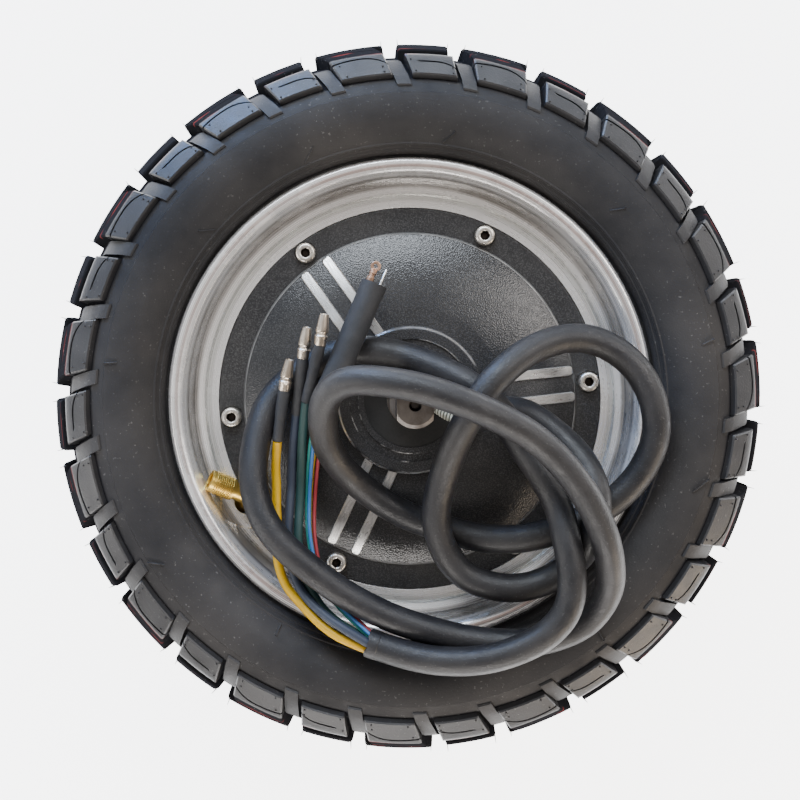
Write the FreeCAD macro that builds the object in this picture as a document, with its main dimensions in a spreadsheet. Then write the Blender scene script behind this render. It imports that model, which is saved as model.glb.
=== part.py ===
"""Hub motor wheel, 255 x 80 size, built piece by piece as it comes apart on a bench.

Millimetres. The origin is the centre of the wheel, and +Z runs along the axle to the cable side.
The axle, the stator and every wire stand still; the rim, the covers and the tyre turn about Z.
"""
import FreeCAD, Part
import math
import os
import re

import Sketcher

Vector = FreeCAD.Vector
OUT_DIR = "parts"
Z_AXIS = Vector(0, 0, 1)

# Driving dimensions: millimetres, degrees and counts.
SIZES = {
    # tyre and inner tube
    "tyre_radius": 127.5, "tyre_half_width": 40, "tread_depth": 6.5, "bead_radius": 81.8,
    "sidewall": 4.5, "tube_wall": 1.5, "tube_bed": 78.5,
    # cast rim, which is also the motor housing
    "rim_half_width": 31, "lip_radius": 85, "bead_seat_radius": 81.2, "well_radius": 72.5,
    "rim_bore": 58.5, "cover_seat": 14.5, "recess_radius": 68.3, "valve_angle": 212,
    "valve_hole": 9.5, "scallop": 20,
    # covers
    "cover_radius": 68, "flange": 4, "dome_radius": 59, "dome_top": 26.8, "skin": 4,
    "boss_radius": 26, "boss_top": 30, "brake_boss_radius": 29, "bearing_radius": 17.5,
    "bearing_inside": 17.5, "bearing_width": 10, "seal_radius": 16.5, "gasket_radius": 61.4,
    "screw_count": 6, "screw_circle": 128, "screw_hole": 4.4, "screw_angle": 5.6,
    "stripe_width": 3.3, "stripe_pitch": 9.3, "stripe_rise": 0.6, "stripe_out": 59.4,
    "stripe_in": 24, "stripe_groups": 3,
    "brake_circle": 44, "brake_hole": 4.2, "brake_depth": 7,
    # screws, M4 socket cap
    "screw_head": 7, "head_height": 4, "screw_shank": 4, "screw_length": 11, "socket_flats": 3,
    # axle
    "axle_length": 140, "axle_end": 15.6, "axle_shoulder": 16, "axle_flats": 12,
    "flats_start": 46, "journal": 17,
    "axle_middle": 20, "key_width": 5, "key_length": 12, "wire_hole": 5, "centre_hole": 2.6,
    # stator and rotor
    "stack_length": 27, "stator_radius": 51.7, "stator_bore": 34, "yoke_radius": 40,
    "slot_count": 27, "tooth_width": 5, "slot_mouth": 2, "coil_width": 9.2, "coil_height": 35,
    "magnet_count": 30, "magnet_length": 25.4, "magnet_inside": 52.3, "magnet_depth": 3,
    "magnet_width": 9.6, "flux_inside": 55.6, "flux_outside": 58.45, "flux_length": 25.6,
    "slot_radius": 49.4, "board_inside": 38, "board_outside": 47, "board_angle": 60,
    "window": 9, "window_circle": 45,
    # bearings, 6003 size
    "ball": 4.76, "ball_count": 10, "ball_circle": 26, "inner_race": 22, "outer_race": 30,
    "race_groove": 1.9, "shield": 0.8,
    # wires
    "cable": 10, "lead": 3.2, "hall_wire": 1.3, "lead_sleeve": 4, "bullet": 4.2,
    "hall_sleeve": 9, "exit_sleeve": 4,
    # valve
    "valve_thread": 7.7, "thread_length": 9, "valve_shank": 6.4, "valve_bore": 5.2,
    "valve_core": 4.8, "valve_foot": 12,
}

doc = FreeCAD.newDocument("hub_motor_wheel")
sheet = doc.addObject("Spreadsheet::Sheet", "Sizes")
for row, (alias, number) in enumerate(SIZES.items(), start=1):
    sheet.set(f"A{row}", alias)
    sheet.set(f"B{row}", str(number))
    sheet.setAlias(f"B{row}", alias)
doc.recompute()

pieces = []


def size(expression):
    """Value of an expression in the sheet's aliases."""
    return float(sheet.evalExpression(str(expression)))


def bound(expression):
    """The same expression as another object writes it."""
    return re.sub(r"[a-z][a-z_]+", r"Sizes.\g<0>", str(expression))


def polar(radius, angle, z=0.0):
    """Point at a radius, an angle in degrees and a height."""
    turn = math.radians(angle)
    return Vector(radius * math.cos(turn), radius * math.sin(turn), z)


def keep(piece):
    """Mark an object as one of the assembly's pieces."""
    pieces.append(piece)
    return piece


# ---------------------------------------------------------------- sketches and features

def new_body(label):
    body = doc.addObject("PartDesign::Body", label)
    body.Label = label
    body.AllowCompound = True
    return body


def new_sketch(body, plane, offset="0", turn=0.0):
    """Sketch on one of the body's origin planes, turned about and moved along its normal."""
    sketch = body.newObject("Sketcher::SketchObject", "Sketch")
    face = next(f for f in body.Origin.OriginFeatures if f.Role == plane)
    sketch.AttachmentSupport = [(face, "")]
    sketch.MapMode = "FlatFace"
    place = FreeCAD.Placement(Vector(0, 0, size(offset)), FreeCAD.Rotation(Z_AXIS, turn))
    sketch.AttachmentOffset = place
    sketch.setExpression("AttachmentOffset.Base.z", bound(offset))
    return sketch


def pin_point(sketch, geo, end, x, y):
    """Bind one vertex of a sketch to two expressions."""
    for kind, expression in (("DistanceX", x), ("DistanceY", y)):
        index = sketch.addConstraint(Sketcher.Constraint(kind, -1, 1, geo, end, size(expression)))
        sketch.setExpression(f"Constraints[{index}]", bound(expression))


def outline(sketch, points):
    """Closed outline. A point is (x, y), or (x, y, via_x, via_y) when an arc leads on from it."""
    first = sketch.GeometryCount
    count = len(points)
    places = [Vector(size(p[0]), size(p[1]), 0) for p in points]
    for i, point in enumerate(points):
        start, end = places[i], places[(i + 1) % count]
        if len(point) == 4:
            via = Vector(size(point[2]), size(point[3]), 0)
            sketch.addGeometry(Part.Arc(start, via, end), False)
        else:
            sketch.addGeometry(Part.LineSegment(start, end), False)
    # an arc always runs anticlockwise, so its first vertex may be the outline's later one
    opens = [1 if sketch.getPoint(first + i, 1).isEqual(places[i], 1e-6) else 2
             for i in range(count)]
    for i, point in enumerate(points):
        after = (i + 1) % count
        sketch.addConstraint(Sketcher.Constraint(
            "Coincident", first + i, 3 - opens[i], first + after, opens[after]))
        pin_point(sketch, first + i, opens[i], point[0], point[1])


def circle(sketch, x, y, diameter):
    """Circle with its centre and its diameter bound."""
    centre = Vector(size(x), size(y), 0)
    geo = sketch.addGeometry(Part.Circle(centre, Z_AXIS, size(diameter) / 2), False)
    index = sketch.addConstraint(Sketcher.Constraint("Diameter", geo, size(diameter)))
    sketch.setExpression(f"Constraints[{index}]", bound(diameter))
    if centre.Length == 0:
        sketch.addConstraint(Sketcher.Constraint("Coincident", geo, 3, -1, 1))
    else:
        pin_point(sketch, geo, 3, x, y)


def box_points(x_low, x_high, y_low, y_high):
    return [(x_low, y_low), (x_high, y_low), (x_high, y_high), (x_low, y_high)]


def both_halves(points):
    """An outline's half followed by its mirror image across the wheel's middle plane."""
    mirror = []
    for i in range(len(points) - 1, -1, -1):
        x, y = points[i][0], points[i][1]
        arc = points[i - 1] if i and len(points[i - 1]) == 4 else None
        mirror.append((x, f"-({y})", arc[2], f"-({arc[3]})") if arc else (x, f"-({y})"))
    return points + mirror


def turned(body, sketch, cut=False):
    """Turn a sketch of the XZ plane once round Z."""
    before = body.Shape.Volume if cut else 0
    kind = "PartDesign::Groove" if cut else "PartDesign::Revolution"
    feature = body.newObject(kind, "Turned")
    feature.Profile = sketch
    feature.ReferenceAxis = (sketch, ["V_Axis"])
    feature.Angle = 360
    doc.recompute()
    if cut and body.Shape.Volume >= before - 1e-6:
        raise RuntimeError(f"{body.Label}: {feature.Name} cuts nothing")
    return feature


def pad(body, sketch, length, midplane=False):
    feature = body.newObject("PartDesign::Pad", "Pad")
    feature.Profile = sketch
    feature.Midplane = midplane
    feature.setExpression("Length", bound(length))
    doc.recompute()
    return feature


def pocket(body, sketch, length, along_normal=True):
    """Cut a sketch along its normal, or against it, and make sure that it removes material."""
    before = body.Shape.Volume
    feature = body.newObject("PartDesign::Pocket", "Pocket")
    feature.Profile = sketch
    feature.Reversed = along_normal
    feature.setExpression("Length", bound(length))
    doc.recompute()
    if body.Shape.Volume >= before - 1e-6:
        raise RuntimeError(f"{body.Label}: {feature.Name} cuts nothing")
    return feature


def around(body, features, count):
    """Repeat features round Z."""
    pattern = body.newObject("PartDesign::PolarPattern", "Around")
    pattern.Originals = features
    axis = next(f for f in body.Origin.OriginFeatures if f.Role == "Z_Axis")
    pattern.Axis = (axis, [""])
    pattern.Angle = 360
    pattern.setExpression("Occurrences", bound(count))
    body.Tip = pattern
    doc.recompute()
    return pattern


def turned_body(label, *outlines):
    """A body that is one outline, or an outer and an inner one, turned round Z."""
    body = new_body(label)
    sketch = new_sketch(body, "XZ_Plane")
    for points in outlines:
        outline(sketch, points)
    turned(body, sketch)
    return body


def shape_piece(label, shape):
    """A piece whose shape no sketch or primitive gives, such as a bent wire."""
    piece = doc.addObject("Part::Feature", label)
    piece.Label = label
    piece.Shape = shape
    return keep(piece)


def rod(start, end, radius):
    """Round bar between two points."""
    along = end - start
    return Part.makeCylinder(radius, along.Length, start, along)


def bent_path(points):
    """Straight runs joined by arcs that touch them, each as large as its two runs allow."""
    edges = []
    radii = []
    last = points[0]
    for before, corner, after in zip(points, points[1:], points[2:]):
        back = before - corner
        on = after - corner
        turn = math.pi - back.getAngle(on)
        reach = 0.45 * min(back.Length, on.Length)
        radius = reach / math.tan(turn / 2)
        back.normalize()
        on.normalize()
        start = corner + back * reach
        end = corner + on * reach
        to_centre = back + on
        to_centre.normalize()
        middle = corner + to_centre * (radius / math.cos(turn / 2) - radius)
        edges.append(Part.LineSegment(last, start).toShape())
        edges.append(Part.Arc(start, middle, end).toShape())
        radii.append(radius)
        last = end
    edges.append(Part.LineSegment(last, points[-1]).toShape())
    return Part.Wire(edges), radii


def bent_tube(name, points, diameter):
    """Round wire along a bent path; its tightest radii are printed."""
    path, radii = bent_path(points)
    ring = Part.Wire(Part.makeCircle(diameter / 2, points[0], points[1] - points[0]))
    tube = path.makePipeShell([ring], True, True)
    section = math.pi * diameter ** 2 / 4
    share = tube.Volume / (section * path.Length)
    tightest = ", ".join(f"{radius:.1f}" for radius in sorted(radii)[:3])
    print(f"{name}: {path.Length:.0f} mm long, tightest radii {tightest}, volume {share:.3f}")
    if abs(share - 1) > 0.01:
        raise RuntimeError(f"{name}: the tube does not follow its path")
    return tube


def boolean(kind, label, base, tool):
    result = doc.addObject(kind, label)
    result.Label = label
    result.Base = base
    result.Tool = tool
    doc.recompute()
    return result


def cutter(label, shape):
    """A plain solid that is only cut away from another piece."""
    tool = doc.addObject("Part::Feature", label)
    tool.Shape = shape
    return tool


# ---------------------------------------------------------------- tyre, tube and valve

VALVE_FOOT = polar(75.3, size("valve_angle"), 3)
VALVE_BEND = polar(65.5, size("valve_angle"), 25)
VALVE_MOUTH = Vector(-70.6, -27.9, 29.7)


def make_tyre():
    outside = [
        ("bead_radius", "rim_half_width - 12"),
        ("bead_radius + 0.2", "rim_half_width - 4.2"),
        ("lip_radius + 0.8", "rim_half_width - 2.6"),
        ("lip_radius + 1", "rim_half_width + 1", "lip_radius + 13", "tyre_half_width - 0.4"),
        ("tyre_radius - 13", "tyre_half_width - 2"),
        ("tyre_radius - 8", "tyre_half_width - 5", "tyre_radius - 2.4", "tyre_half_width - 19"),
        ("tyre_radius", "tyre_half_width - 34"),
    ]
    inside = [
        ("bead_radius + 3", "-(rim_half_width - 12)"),
        ("lip_radius + 3.4", "-(rim_half_width - 2)", "lip_radius + 14",
         "-(tyre_half_width - sidewall)"),
        ("tyre_radius - 14", "-(tyre_half_width - 3 - sidewall)", "tyre_radius - 10",
         "-(tyre_half_width - 20)"),
        ("tyre_radius - tread_depth - 2", "-(tyre_half_width - 34)"),
    ]
    keep(turned_body("tyre", both_halves(outside) + both_halves(inside)))


def make_inner_tube():
    outer = [
        ("tube_bed", "11"),
        ("lip_radius", "rim_half_width - 13"),
        ("lip_radius + 5", "rim_half_width - 2", "lip_radius + 15", "tyre_half_width - 6"),
        ("tyre_radius - 15.5", "tyre_half_width - 12", "tyre_radius - 11.4", "12"),
        ("tyre_radius - 10.4", "4"),
    ]
    inner = [
        ("tube_bed + tube_wall", "10.5"),
        ("lip_radius + tube_wall", "rim_half_width - 13.5"),
        ("lip_radius + 6", "rim_half_width - 3.8", "lip_radius + 15", "tyre_half_width - 7.7"),
        ("tyre_radius - 17.2", "tyre_half_width - 13", "tyre_radius - 13.2", "12"),
        ("tyre_radius - 12.2", "4"),
    ]
    keep(turned_body("inner_tube", both_halves(outer), both_halves(inner)))


def make_valve():
    """Bent metal valve: it leaves the tube, passes the rim and ends in an open thread."""
    along = VALVE_MOUTH - VALVE_BEND
    along.normalize()
    thread_start = VALVE_MOUTH - along * size("thread_length")
    stem = bent_tube("valve_stem", [VALVE_FOOT, VALVE_BEND, thread_start], size("valve_shank"))
    stem = stem.fuse(rod(thread_start, VALVE_MOUTH, size("valve_thread") / 2))
    angle = size("valve_angle")
    foot_top = polar(size("tube_bed") - 0.4, angle, VALVE_FOOT.z - 1)
    foot_bottom = polar(size("tube_bed") - 2.7, angle, VALVE_FOOT.z - 1)
    stem = stem.fuse(rod(foot_bottom, foot_top, size("valve_foot") / 2))
    bore_start = VALVE_MOUTH - along * (size("thread_length") - 1)
    stem = stem.cut(rod(bore_start, VALVE_MOUTH + along, size("valve_bore") / 2))
    shape_piece("valve_stem", stem)
    core = rod(bore_start + along * 0.2, bore_start + along * 5, size("valve_core") / 2)
    core = core.fuse(rod(bore_start + along * 4.5, bore_start + along * 7, 0.7))
    shape_piece("valve_core", core)


# ---------------------------------------------------------------- rim and covers

def make_rim():
    half = [
        ("rim_bore", "cover_seat"),
        ("recess_radius", "cover_seat"),
        ("recess_radius", "cover_seat + flange + 0.2"),
        ("well_radius", "cover_seat + flange + 0.5"),
        ("well_radius + 0.6", "cover_seat + flange + 2"),
        ("lip_radius - 8.5", "cover_seat + flange + 3"),
        ("lip_radius - 7", "rim_half_width - 3.5"),
        ("lip_radius - 5", "rim_half_width - 1", "lip_radius - 3.6", "rim_half_width - 0.1"),
        ("lip_radius - 2", "rim_half_width", "lip_radius - 0.4", "rim_half_width - 0.6"),
        ("lip_radius", "rim_half_width - 2"),
        ("lip_radius", "rim_half_width - 2.9"),
        ("bead_seat_radius + 0.6", "rim_half_width - 3.8"),
        ("bead_seat_radius", "rim_half_width - 6"),
        ("bead_seat_radius", "rim_half_width - 14"),
        ("well_radius + 2", "13"),
        ("well_radius", "10.5"),
    ]
    body = turned_body("rim_cast", both_halves(half))
    for side in (1, -1):
        holes = new_sketch(body, "XY_Plane", f"{side} * (cover_seat + 1)", size("screw_angle"))
        circle(holes, "screw_circle / 2", "0", "screw_shank + 0.1")
        cut = pocket(body, holes, "12", along_normal=side < 0)
        around(body, [cut], "screw_count")
    along = VALVE_BEND - VALVE_FOOT
    hole = cutter("valve_hole", rod(VALVE_FOOT - along * 0.1, VALVE_BEND + along * 0.2,
                                    size("valve_hole") / 2))
    drilled = boolean("Part::Cut", "rim_drilled", body, hole)
    floor = size("cover_seat + flange + 0.6")
    place = polar(size("well_radius - 5"), size("valve_angle"), floor)
    scallop = cutter("valve_scallop", Part.makeCylinder(size("scallop") / 2, 20, place, Z_AXIS))
    keep(boolean("Part::Cut", "rim", drilled, scallop))


def cover_outline(side, boss_radius):
    """Half section of a cover: flange, dome, boss, bearing seat and the bore of the seal."""
    top = "cover_seat + flange"
    race_end = "bearing_inside + bearing_width"
    points = [
        ("cover_radius", "cover_seat"),
        ("cover_radius", top),
        ("dome_radius + 0.3", top),
        ("dome_radius - 0.3", f"{top} + 1.4", "44", "dome_top - 2.1"),
        ("33", "dome_top - 0.3"),
        (boss_radius, "dome_top"),
        (boss_radius, "boss_top - 0.8"),
        (f"{boss_radius} - 0.8", "boss_top"),
        ("21.5", "boss_top"),
        ("21.5", "boss_top - 0.7"),
        ("18.8", "boss_top - 0.7"),
        ("18.8", "boss_top"),
        ("seal_radius", "boss_top"),
        ("seal_radius", f"{race_end}"),
        ("bearing_radius", f"{race_end}"),
        ("bearing_radius", "bearing_inside - 0.5"),
        ("bearing_radius + 5", "bearing_inside - 0.5"),
        ("bearing_radius + 7", "dome_top - skin - 0.8"),
        ("34", "dome_top - skin - 0.6", "45", "dome_top - skin - 2.6"),
        ("dome_radius - 4", "cover_seat + 0.8"),
        ("rim_bore - 1", "cover_seat - 1.5"),
        ("rim_bore - 0.15", "cover_seat - 1.5"),
        ("rim_bore - 0.15", "cover_seat + 0.4"),
        ("gasket_radius + 0.1", "cover_seat + 0.4"),
        ("gasket_radius + 0.1", "cover_seat"),
    ]
    if side > 0:
        return points
    return [(p[0], f"-({p[1]})") if len(p) == 2 else (p[0], f"-({p[1]})", p[2], f"-({p[3]})")
            for p in points]


def cover_body(label, side, boss_radius):
    body = turned_body(label, cover_outline(side, boss_radius))
    top = f"{side} * (cover_seat + flange + 1)"
    holes = new_sketch(body, "XY_Plane", top, size("screw_angle"))
    circle(holes, "screw_circle / 2", "0", "screw_hole")
    cut = pocket(body, holes, "flange + 2", along_normal=side < 0)
    around(body, [cut], "screw_count")
    seats = new_sketch(body, "XY_Plane", top, size("screw_angle"))
    circle(seats, "screw_circle / 2", "0", "screw_head + 1.2")
    cut = pocket(body, seats, "1.5", along_normal=side < 0)
    around(body, [cut], "screw_count")
    return body


def make_front_cover():
    body = cover_body("front_cover_cast", 1, "boss_radius")
    notch = new_sketch(body, "XY_Plane", "cover_seat - 2", size("valve_angle"))
    circle(notch, "cover_radius + 0.5", "0", "valve_hole + 2")
    pocket(body, notch, "10")
    # three pairs of raised bars, which follow the dome a little above it
    top = "cover_seat + flange"
    skin = turned_body("bar_skin", [
        ("stripe_out", f"{top} - 1"),
        ("stripe_out", f"{top} + 0.8"),
        ("dome_radius - 0.9", f"{top} + 1.4 + stripe_rise", "44",
         "dome_top - 2.1 + stripe_rise"),
        ("33", "dome_top - 0.3 + stripe_rise"),
        ("stripe_in + 1.5", "dome_top + stripe_rise"),
        ("stripe_in + 1.5", "dome_top - 1.5"),
        ("33", "dome_top - 1.5", "44", "dome_top - 3.2"),
        ("dome_radius - 4", f"{top} - 1"),
    ])
    bars = new_body("bars")
    sketch = new_sketch(bars, "XY_Plane", "cover_seat", size("screw_angle"))
    half = "stripe_width / 2"
    end = "stripe_out - 2.2"
    for side in (1, -1):
        low = f"{side} * stripe_pitch / 2 - {half}"
        high = f"{side} * stripe_pitch / 2 + {half}"
        outline(sketch, [
            ("stripe_in", low), (end, low, f"{end} + {half}", f"{side} * stripe_pitch / 2"),
            (end, high), ("stripe_in", high)])
    rails = pad(bars, sketch, "20")
    around(bars, [rails], "stripe_groups")
    ribs = boolean("Part::Common", "ribs", skin, bars)
    keep(boolean("Part::Fuse", "front_cover", body, ribs))


def make_rear_cover():
    body = cover_body("rear_cover", -1, "brake_boss_radius")
    holes = new_sketch(body, "XY_Plane", "-boss_top", size("screw_angle"))
    circle(holes, "brake_circle / 2", "0", "brake_hole")
    cut = pocket(body, holes, "brake_depth")
    around(body, [cut], "screw_count")
    keep(body)


def make_screws(label, side):
    """Six socket cap screws through a cover's flange into the rim."""
    body = new_body(label)
    turn = size("screw_angle")
    under_head = "cover_seat + flange - 0.5"
    shank = new_sketch(body, "XY_Plane", f"{side} * ({under_head} + 0.5 - screw_length)", turn)
    circle(shank, "screw_circle / 2", "0", "screw_shank")
    pins = pad(body, shank, "screw_length")
    pins.Reversed = side < 0
    head = new_sketch(body, "XY_Plane", f"{side} * ({under_head})", turn)
    circle(head, "screw_circle / 2", "0", "screw_head")
    heads = pad(body, head, "head_height")
    heads.Reversed = side < 0
    doc.recompute()
    socket = new_sketch(body, "XY_Plane", f"{side} * ({under_head} + head_height)", turn)
    flat = "socket_flats / 2"
    corner = "socket_flats * 0.57735"
    centre = "screw_circle / 2"
    outline(socket, [
        (f"{centre} + {corner}", "0"), (f"{centre} + {corner} / 2", flat),
        (f"{centre} - {corner} / 2", flat), (f"{centre} - {corner}", "0"),
        (f"{centre} - {corner} / 2", f"-({flat})"), (f"{centre} + {corner} / 2", f"-({flat})")])
    recess = pocket(body, socket, "2.2", along_normal=side < 0)
    around(body, [pins, heads, recess], "screw_count")
    keep(body)


# ---------------------------------------------------------------- axle, bearings and seals

# the wires' drilling slants from beside the stator to the side of the axle, and turns out there
WIRE_IN = Vector(-10.9, 0, 4.15)
EXIT_ROUTE = [Vector(0.5, 0, 27.6), Vector(6.6, 0, 40.1), Vector(11, -4, 44.5),
              Vector(15.3, -5.6, 44.3)]


def make_axle():
    end = "axle_length / 2"
    half = [
        ("0", end),
        ("axle_end / 2 - 1.2", end),
        ("axle_end / 2", f"{end} - 1.2"),
        ("axle_end / 2", "flats_start"),
        ("axle_shoulder / 2", "flats_start"),
        ("axle_shoulder / 2", "boss_top"),
        ("journal / 2", "boss_top"),
        ("journal / 2", "bearing_inside"),
        ("axle_middle / 2", "bearing_inside"),
    ]
    body = new_body("axle_turned")
    sketch = new_sketch(body, "XZ_Plane")
    points = both_halves(half)
    outline(sketch, points)
    turned(body, sketch)
    for side in (1, -1):
        flats = new_sketch(body, "XY_Plane", f"{side} * flats_start")
        for face in (1, -1):
            low, high = ("axle_flats / 2", "axle_end") if face > 0 else (
                "-axle_end", "-axle_flats / 2")
            outline(flats, box_points(low, high, "-axle_end", "axle_end"))
        pocket(body, flats, "axle_length", along_normal=side > 0)
        centre = new_sketch(body, "XY_Plane", f"{side} * axle_length / 2")
        circle(centre, "0", "0", "centre_hole")
        pocket(body, centre, "5", along_normal=side < 0)
    keyway = new_sketch(body, "XY_Plane", "-14")
    outline(keyway, box_points("axle_middle / 2 - 2.5", "axle_middle / 2 + 1",
                               "-key_width / 2", "key_width / 2"))
    pocket(body, keyway, "key_length")
    bore = rod(WIRE_IN, EXIT_ROUTE[0], size("wire_hole") / 2)
    mouth = bent_tube("wire_passage", EXIT_ROUTE[:3], size("wire_hole"))
    passage = cutter("wire_passage", bore.fuse(mouth))
    drilled = boolean("Part::Cut", "axle_drilled", body, passage)
    countersinks = [
        Part.makeCone(2.1, 0, 2.1, Vector(0, 0, side * size("axle_length") / 2),
                      Vector(0, 0, -side)) for side in (1, -1)]
    sinks = cutter("countersinks", Part.makeCompound(countersinks))
    keep(boolean("Part::Cut", "axle", drilled, sinks))
    key = new_body("axle_key")
    sketch = new_sketch(key, "XY_Plane", "-14")
    outline(sketch, box_points("axle_middle / 2 - 2.45", "axle_middle / 2 + 2.4",
                               "-key_width / 2 + 0.05", "key_width / 2 - 0.05"))
    pad(key, sketch, "key_length - 0.1")
    keep(key)


def make_bearing(name, side):
    """Deep-groove ball bearing: two races, the balls and two seal rings."""
    low, high = sorted((side * size("bearing_inside"),
                        side * size("bearing_inside + bearing_width")))
    middle = (low + high) / 2
    groove = size("race_groove")
    inner, outer = "inner_race / 2", "outer_race / 2"
    keep(turned_body(f"{name}_inner_race", [
        ("journal / 2 + 0.02", low), (inner, low),
        (inner, middle - groove, f"{inner} - 0.45", middle),
        (inner, middle + groove), (inner, high), ("journal / 2 + 0.02", high)]))
    keep(turned_body(f"{name}_outer_race", [
        (outer, low), ("bearing_radius - 0.02", low), ("bearing_radius - 0.02", high),
        (outer, high), (outer, middle + groove, f"{outer} + 0.45", middle),
        (outer, middle - groove)]))
    balls = [Part.makeSphere(size("ball") / 2,
                             polar(size("ball_circle") / 2, 360 * i / size("ball_count"), middle))
             for i in range(int(size("ball_count")))]
    shape_piece(f"{name}_balls", Part.makeCompound(balls))
    thick = size("shield")
    rings = []
    for z in (low + 0.3, high - 0.3 - thick):
        ring = Part.makeCylinder(size(outer) - 0.05, thick, Vector(0, 0, z), Z_AXIS)
        hole = Part.makeCylinder(size(inner) + 0.15, thick, Vector(0, 0, z), Z_AXIS)
        rings.append(ring.cut(hole))
    shape_piece(f"{name}_seals", Part.makeCompound(rings))


def make_oil_seal(label, side):
    low, high = sorted((side * size("bearing_inside + bearing_width + 0.7"),
                        side * size("boss_top - 0.2")))
    keep(turned_body(label, box_points("journal / 2 + 0.08", "seal_radius - 0.03",
                                       low, high)))


def make_gasket(label, side):
    """Thin ring on the rim's seat, in the step under a cover's flange."""
    low, high = sorted((side * size("cover_seat"), side * size("cover_seat + 0.38")))
    keep(turned_body(label, box_points("rim_bore + 0.2", "gasket_radius", low, high)))


# ---------------------------------------------------------------- stator and rotor

def make_stator():
    core = new_body("stator_core")
    ring = new_sketch(core, "XY_Plane", "-stack_length / 2")
    circle(ring, "0", "0", "stator_radius * 2")
    circle(ring, "0", "0", "stator_bore * 2")
    pad(core, ring, "stack_length")
    slot = new_sketch(core, "XY_Plane", "-stack_length / 2 - 1", 180 / size("slot_count"))
    slope = round(math.tan(math.pi / size("slot_count")), 5)
    inner_half = f"yoke_radius * {slope} - tooth_width / 2"
    outer_half = f"slot_radius * {slope} - tooth_width / 2"
    mouth = "slot_mouth / 2"
    outline(slot, [
        ("yoke_radius", f"-({inner_half})"), ("slot_radius", f"-({outer_half})"),
        ("slot_radius + 1", f"-({mouth})"), ("stator_radius + 1", f"-({mouth})"),
        ("stator_radius + 1", mouth), ("slot_radius + 1", mouth),
        ("slot_radius", outer_half), ("yoke_radius", inner_half)])
    cut = pocket(core, slot, "stack_length + 2")
    around(core, [cut], "slot_count")
    keep(core)

    coils = new_body("windings")
    frame = new_sketch(coils, "YZ_Plane", "yoke_radius + 1")
    outline(frame, box_points("-coil_width / 2", "coil_width / 2",
                              "-coil_height / 2", "coil_height / 2"))
    outline(frame, box_points("-tooth_width / 2 - 0.1", "tooth_width / 2 + 0.1",
                              "-stack_length / 2 - 0.3", "stack_length / 2 + 0.3"))
    one = pad(coils, frame, "8")
    around(coils, [one], "slot_count")
    keep(coils)

    carrier = turned_body("stator_carrier", [
        ("axle_middle / 2 + 0.02", "-14"), ("15", "-14"), ("15", "-10"), ("30", "-8"),
        ("30", "-13"), ("stator_bore - 0.03", "-13"), ("stator_bore - 0.03", "13"),
        ("30", "13"), ("30", "-3"), ("15", "-3"), ("15", "0"), ("axle_middle / 2 + 0.02", "0")])
    windows = new_sketch(carrier, "XY_Plane", "-15")
    circle(windows, "window_circle / 2", "0", "window")
    cut = pocket(carrier, windows, "20")
    around(carrier, [cut], "screw_count")
    keyway = new_sketch(carrier, "XY_Plane", "-15")
    outline(keyway, box_points("axle_middle / 2 - 1", "axle_middle / 2 + 2.5",
                               "-key_width / 2", "key_width / 2"))
    pocket(carrier, keyway, "16")
    keep(carrier)


def make_rotor():
    keep(turned_body("flux_ring", box_points(
        "flux_inside", "flux_outside", "-flux_length / 2", "flux_length / 2")))
    magnets = new_body("magnets")
    sketch = new_sketch(magnets, "XY_Plane", "-magnet_length / 2")
    outline(sketch, box_points("magnet_inside + 0.25", "magnet_inside + magnet_depth - 0.15",
                               "-magnet_width / 2", "magnet_width / 2"))
    one = pad(magnets, sketch, "magnet_length")
    around(magnets, [one], "magnet_count")
    keep(magnets)


def make_hall_board():
    """Curved board over the coil heads, with three sensors in the gaps between coils."""
    board = new_body("hall_board")
    sketch = new_sketch(board, "XY_Plane", "coil_height / 2 + 0.3", size("board_angle"))
    across, along = 0.7, 0.714
    inside, outside = "board_inside", "board_outside"
    outline(sketch, [
        (f"{inside} * {across}", f"-{inside} * {along}", inside, "0"),
        (f"{inside} * {across}", f"{inside} * {along}"),
        (f"{outside} * {across}", f"{outside} * {along}", outside, "0"),
        (f"{outside} * {across}", f"-{outside} * {along}")])
    pad(board, sketch, "1.2")
    keep(board)
    pitch = 360 / size("slot_count")
    sensors = []
    for step in (-2, 0, 2):
        thick, wide, high = 1.5, 4, 3.6
        corner = Vector(size("slot_radius") + 0.5, -wide / 2, size("stack_length") / 2 + 0.3)
        sensor = Part.makeBox(thick, wide, high, corner)
        sensor.rotate(Vector(0, 0, 0), Z_AXIS, size("board_angle") + step * pitch)
        sensors.append(sensor)
    shape_piece("hall_sensors", Part.makeCompound(sensors))


# ---------------------------------------------------------------- cable and leads

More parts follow.
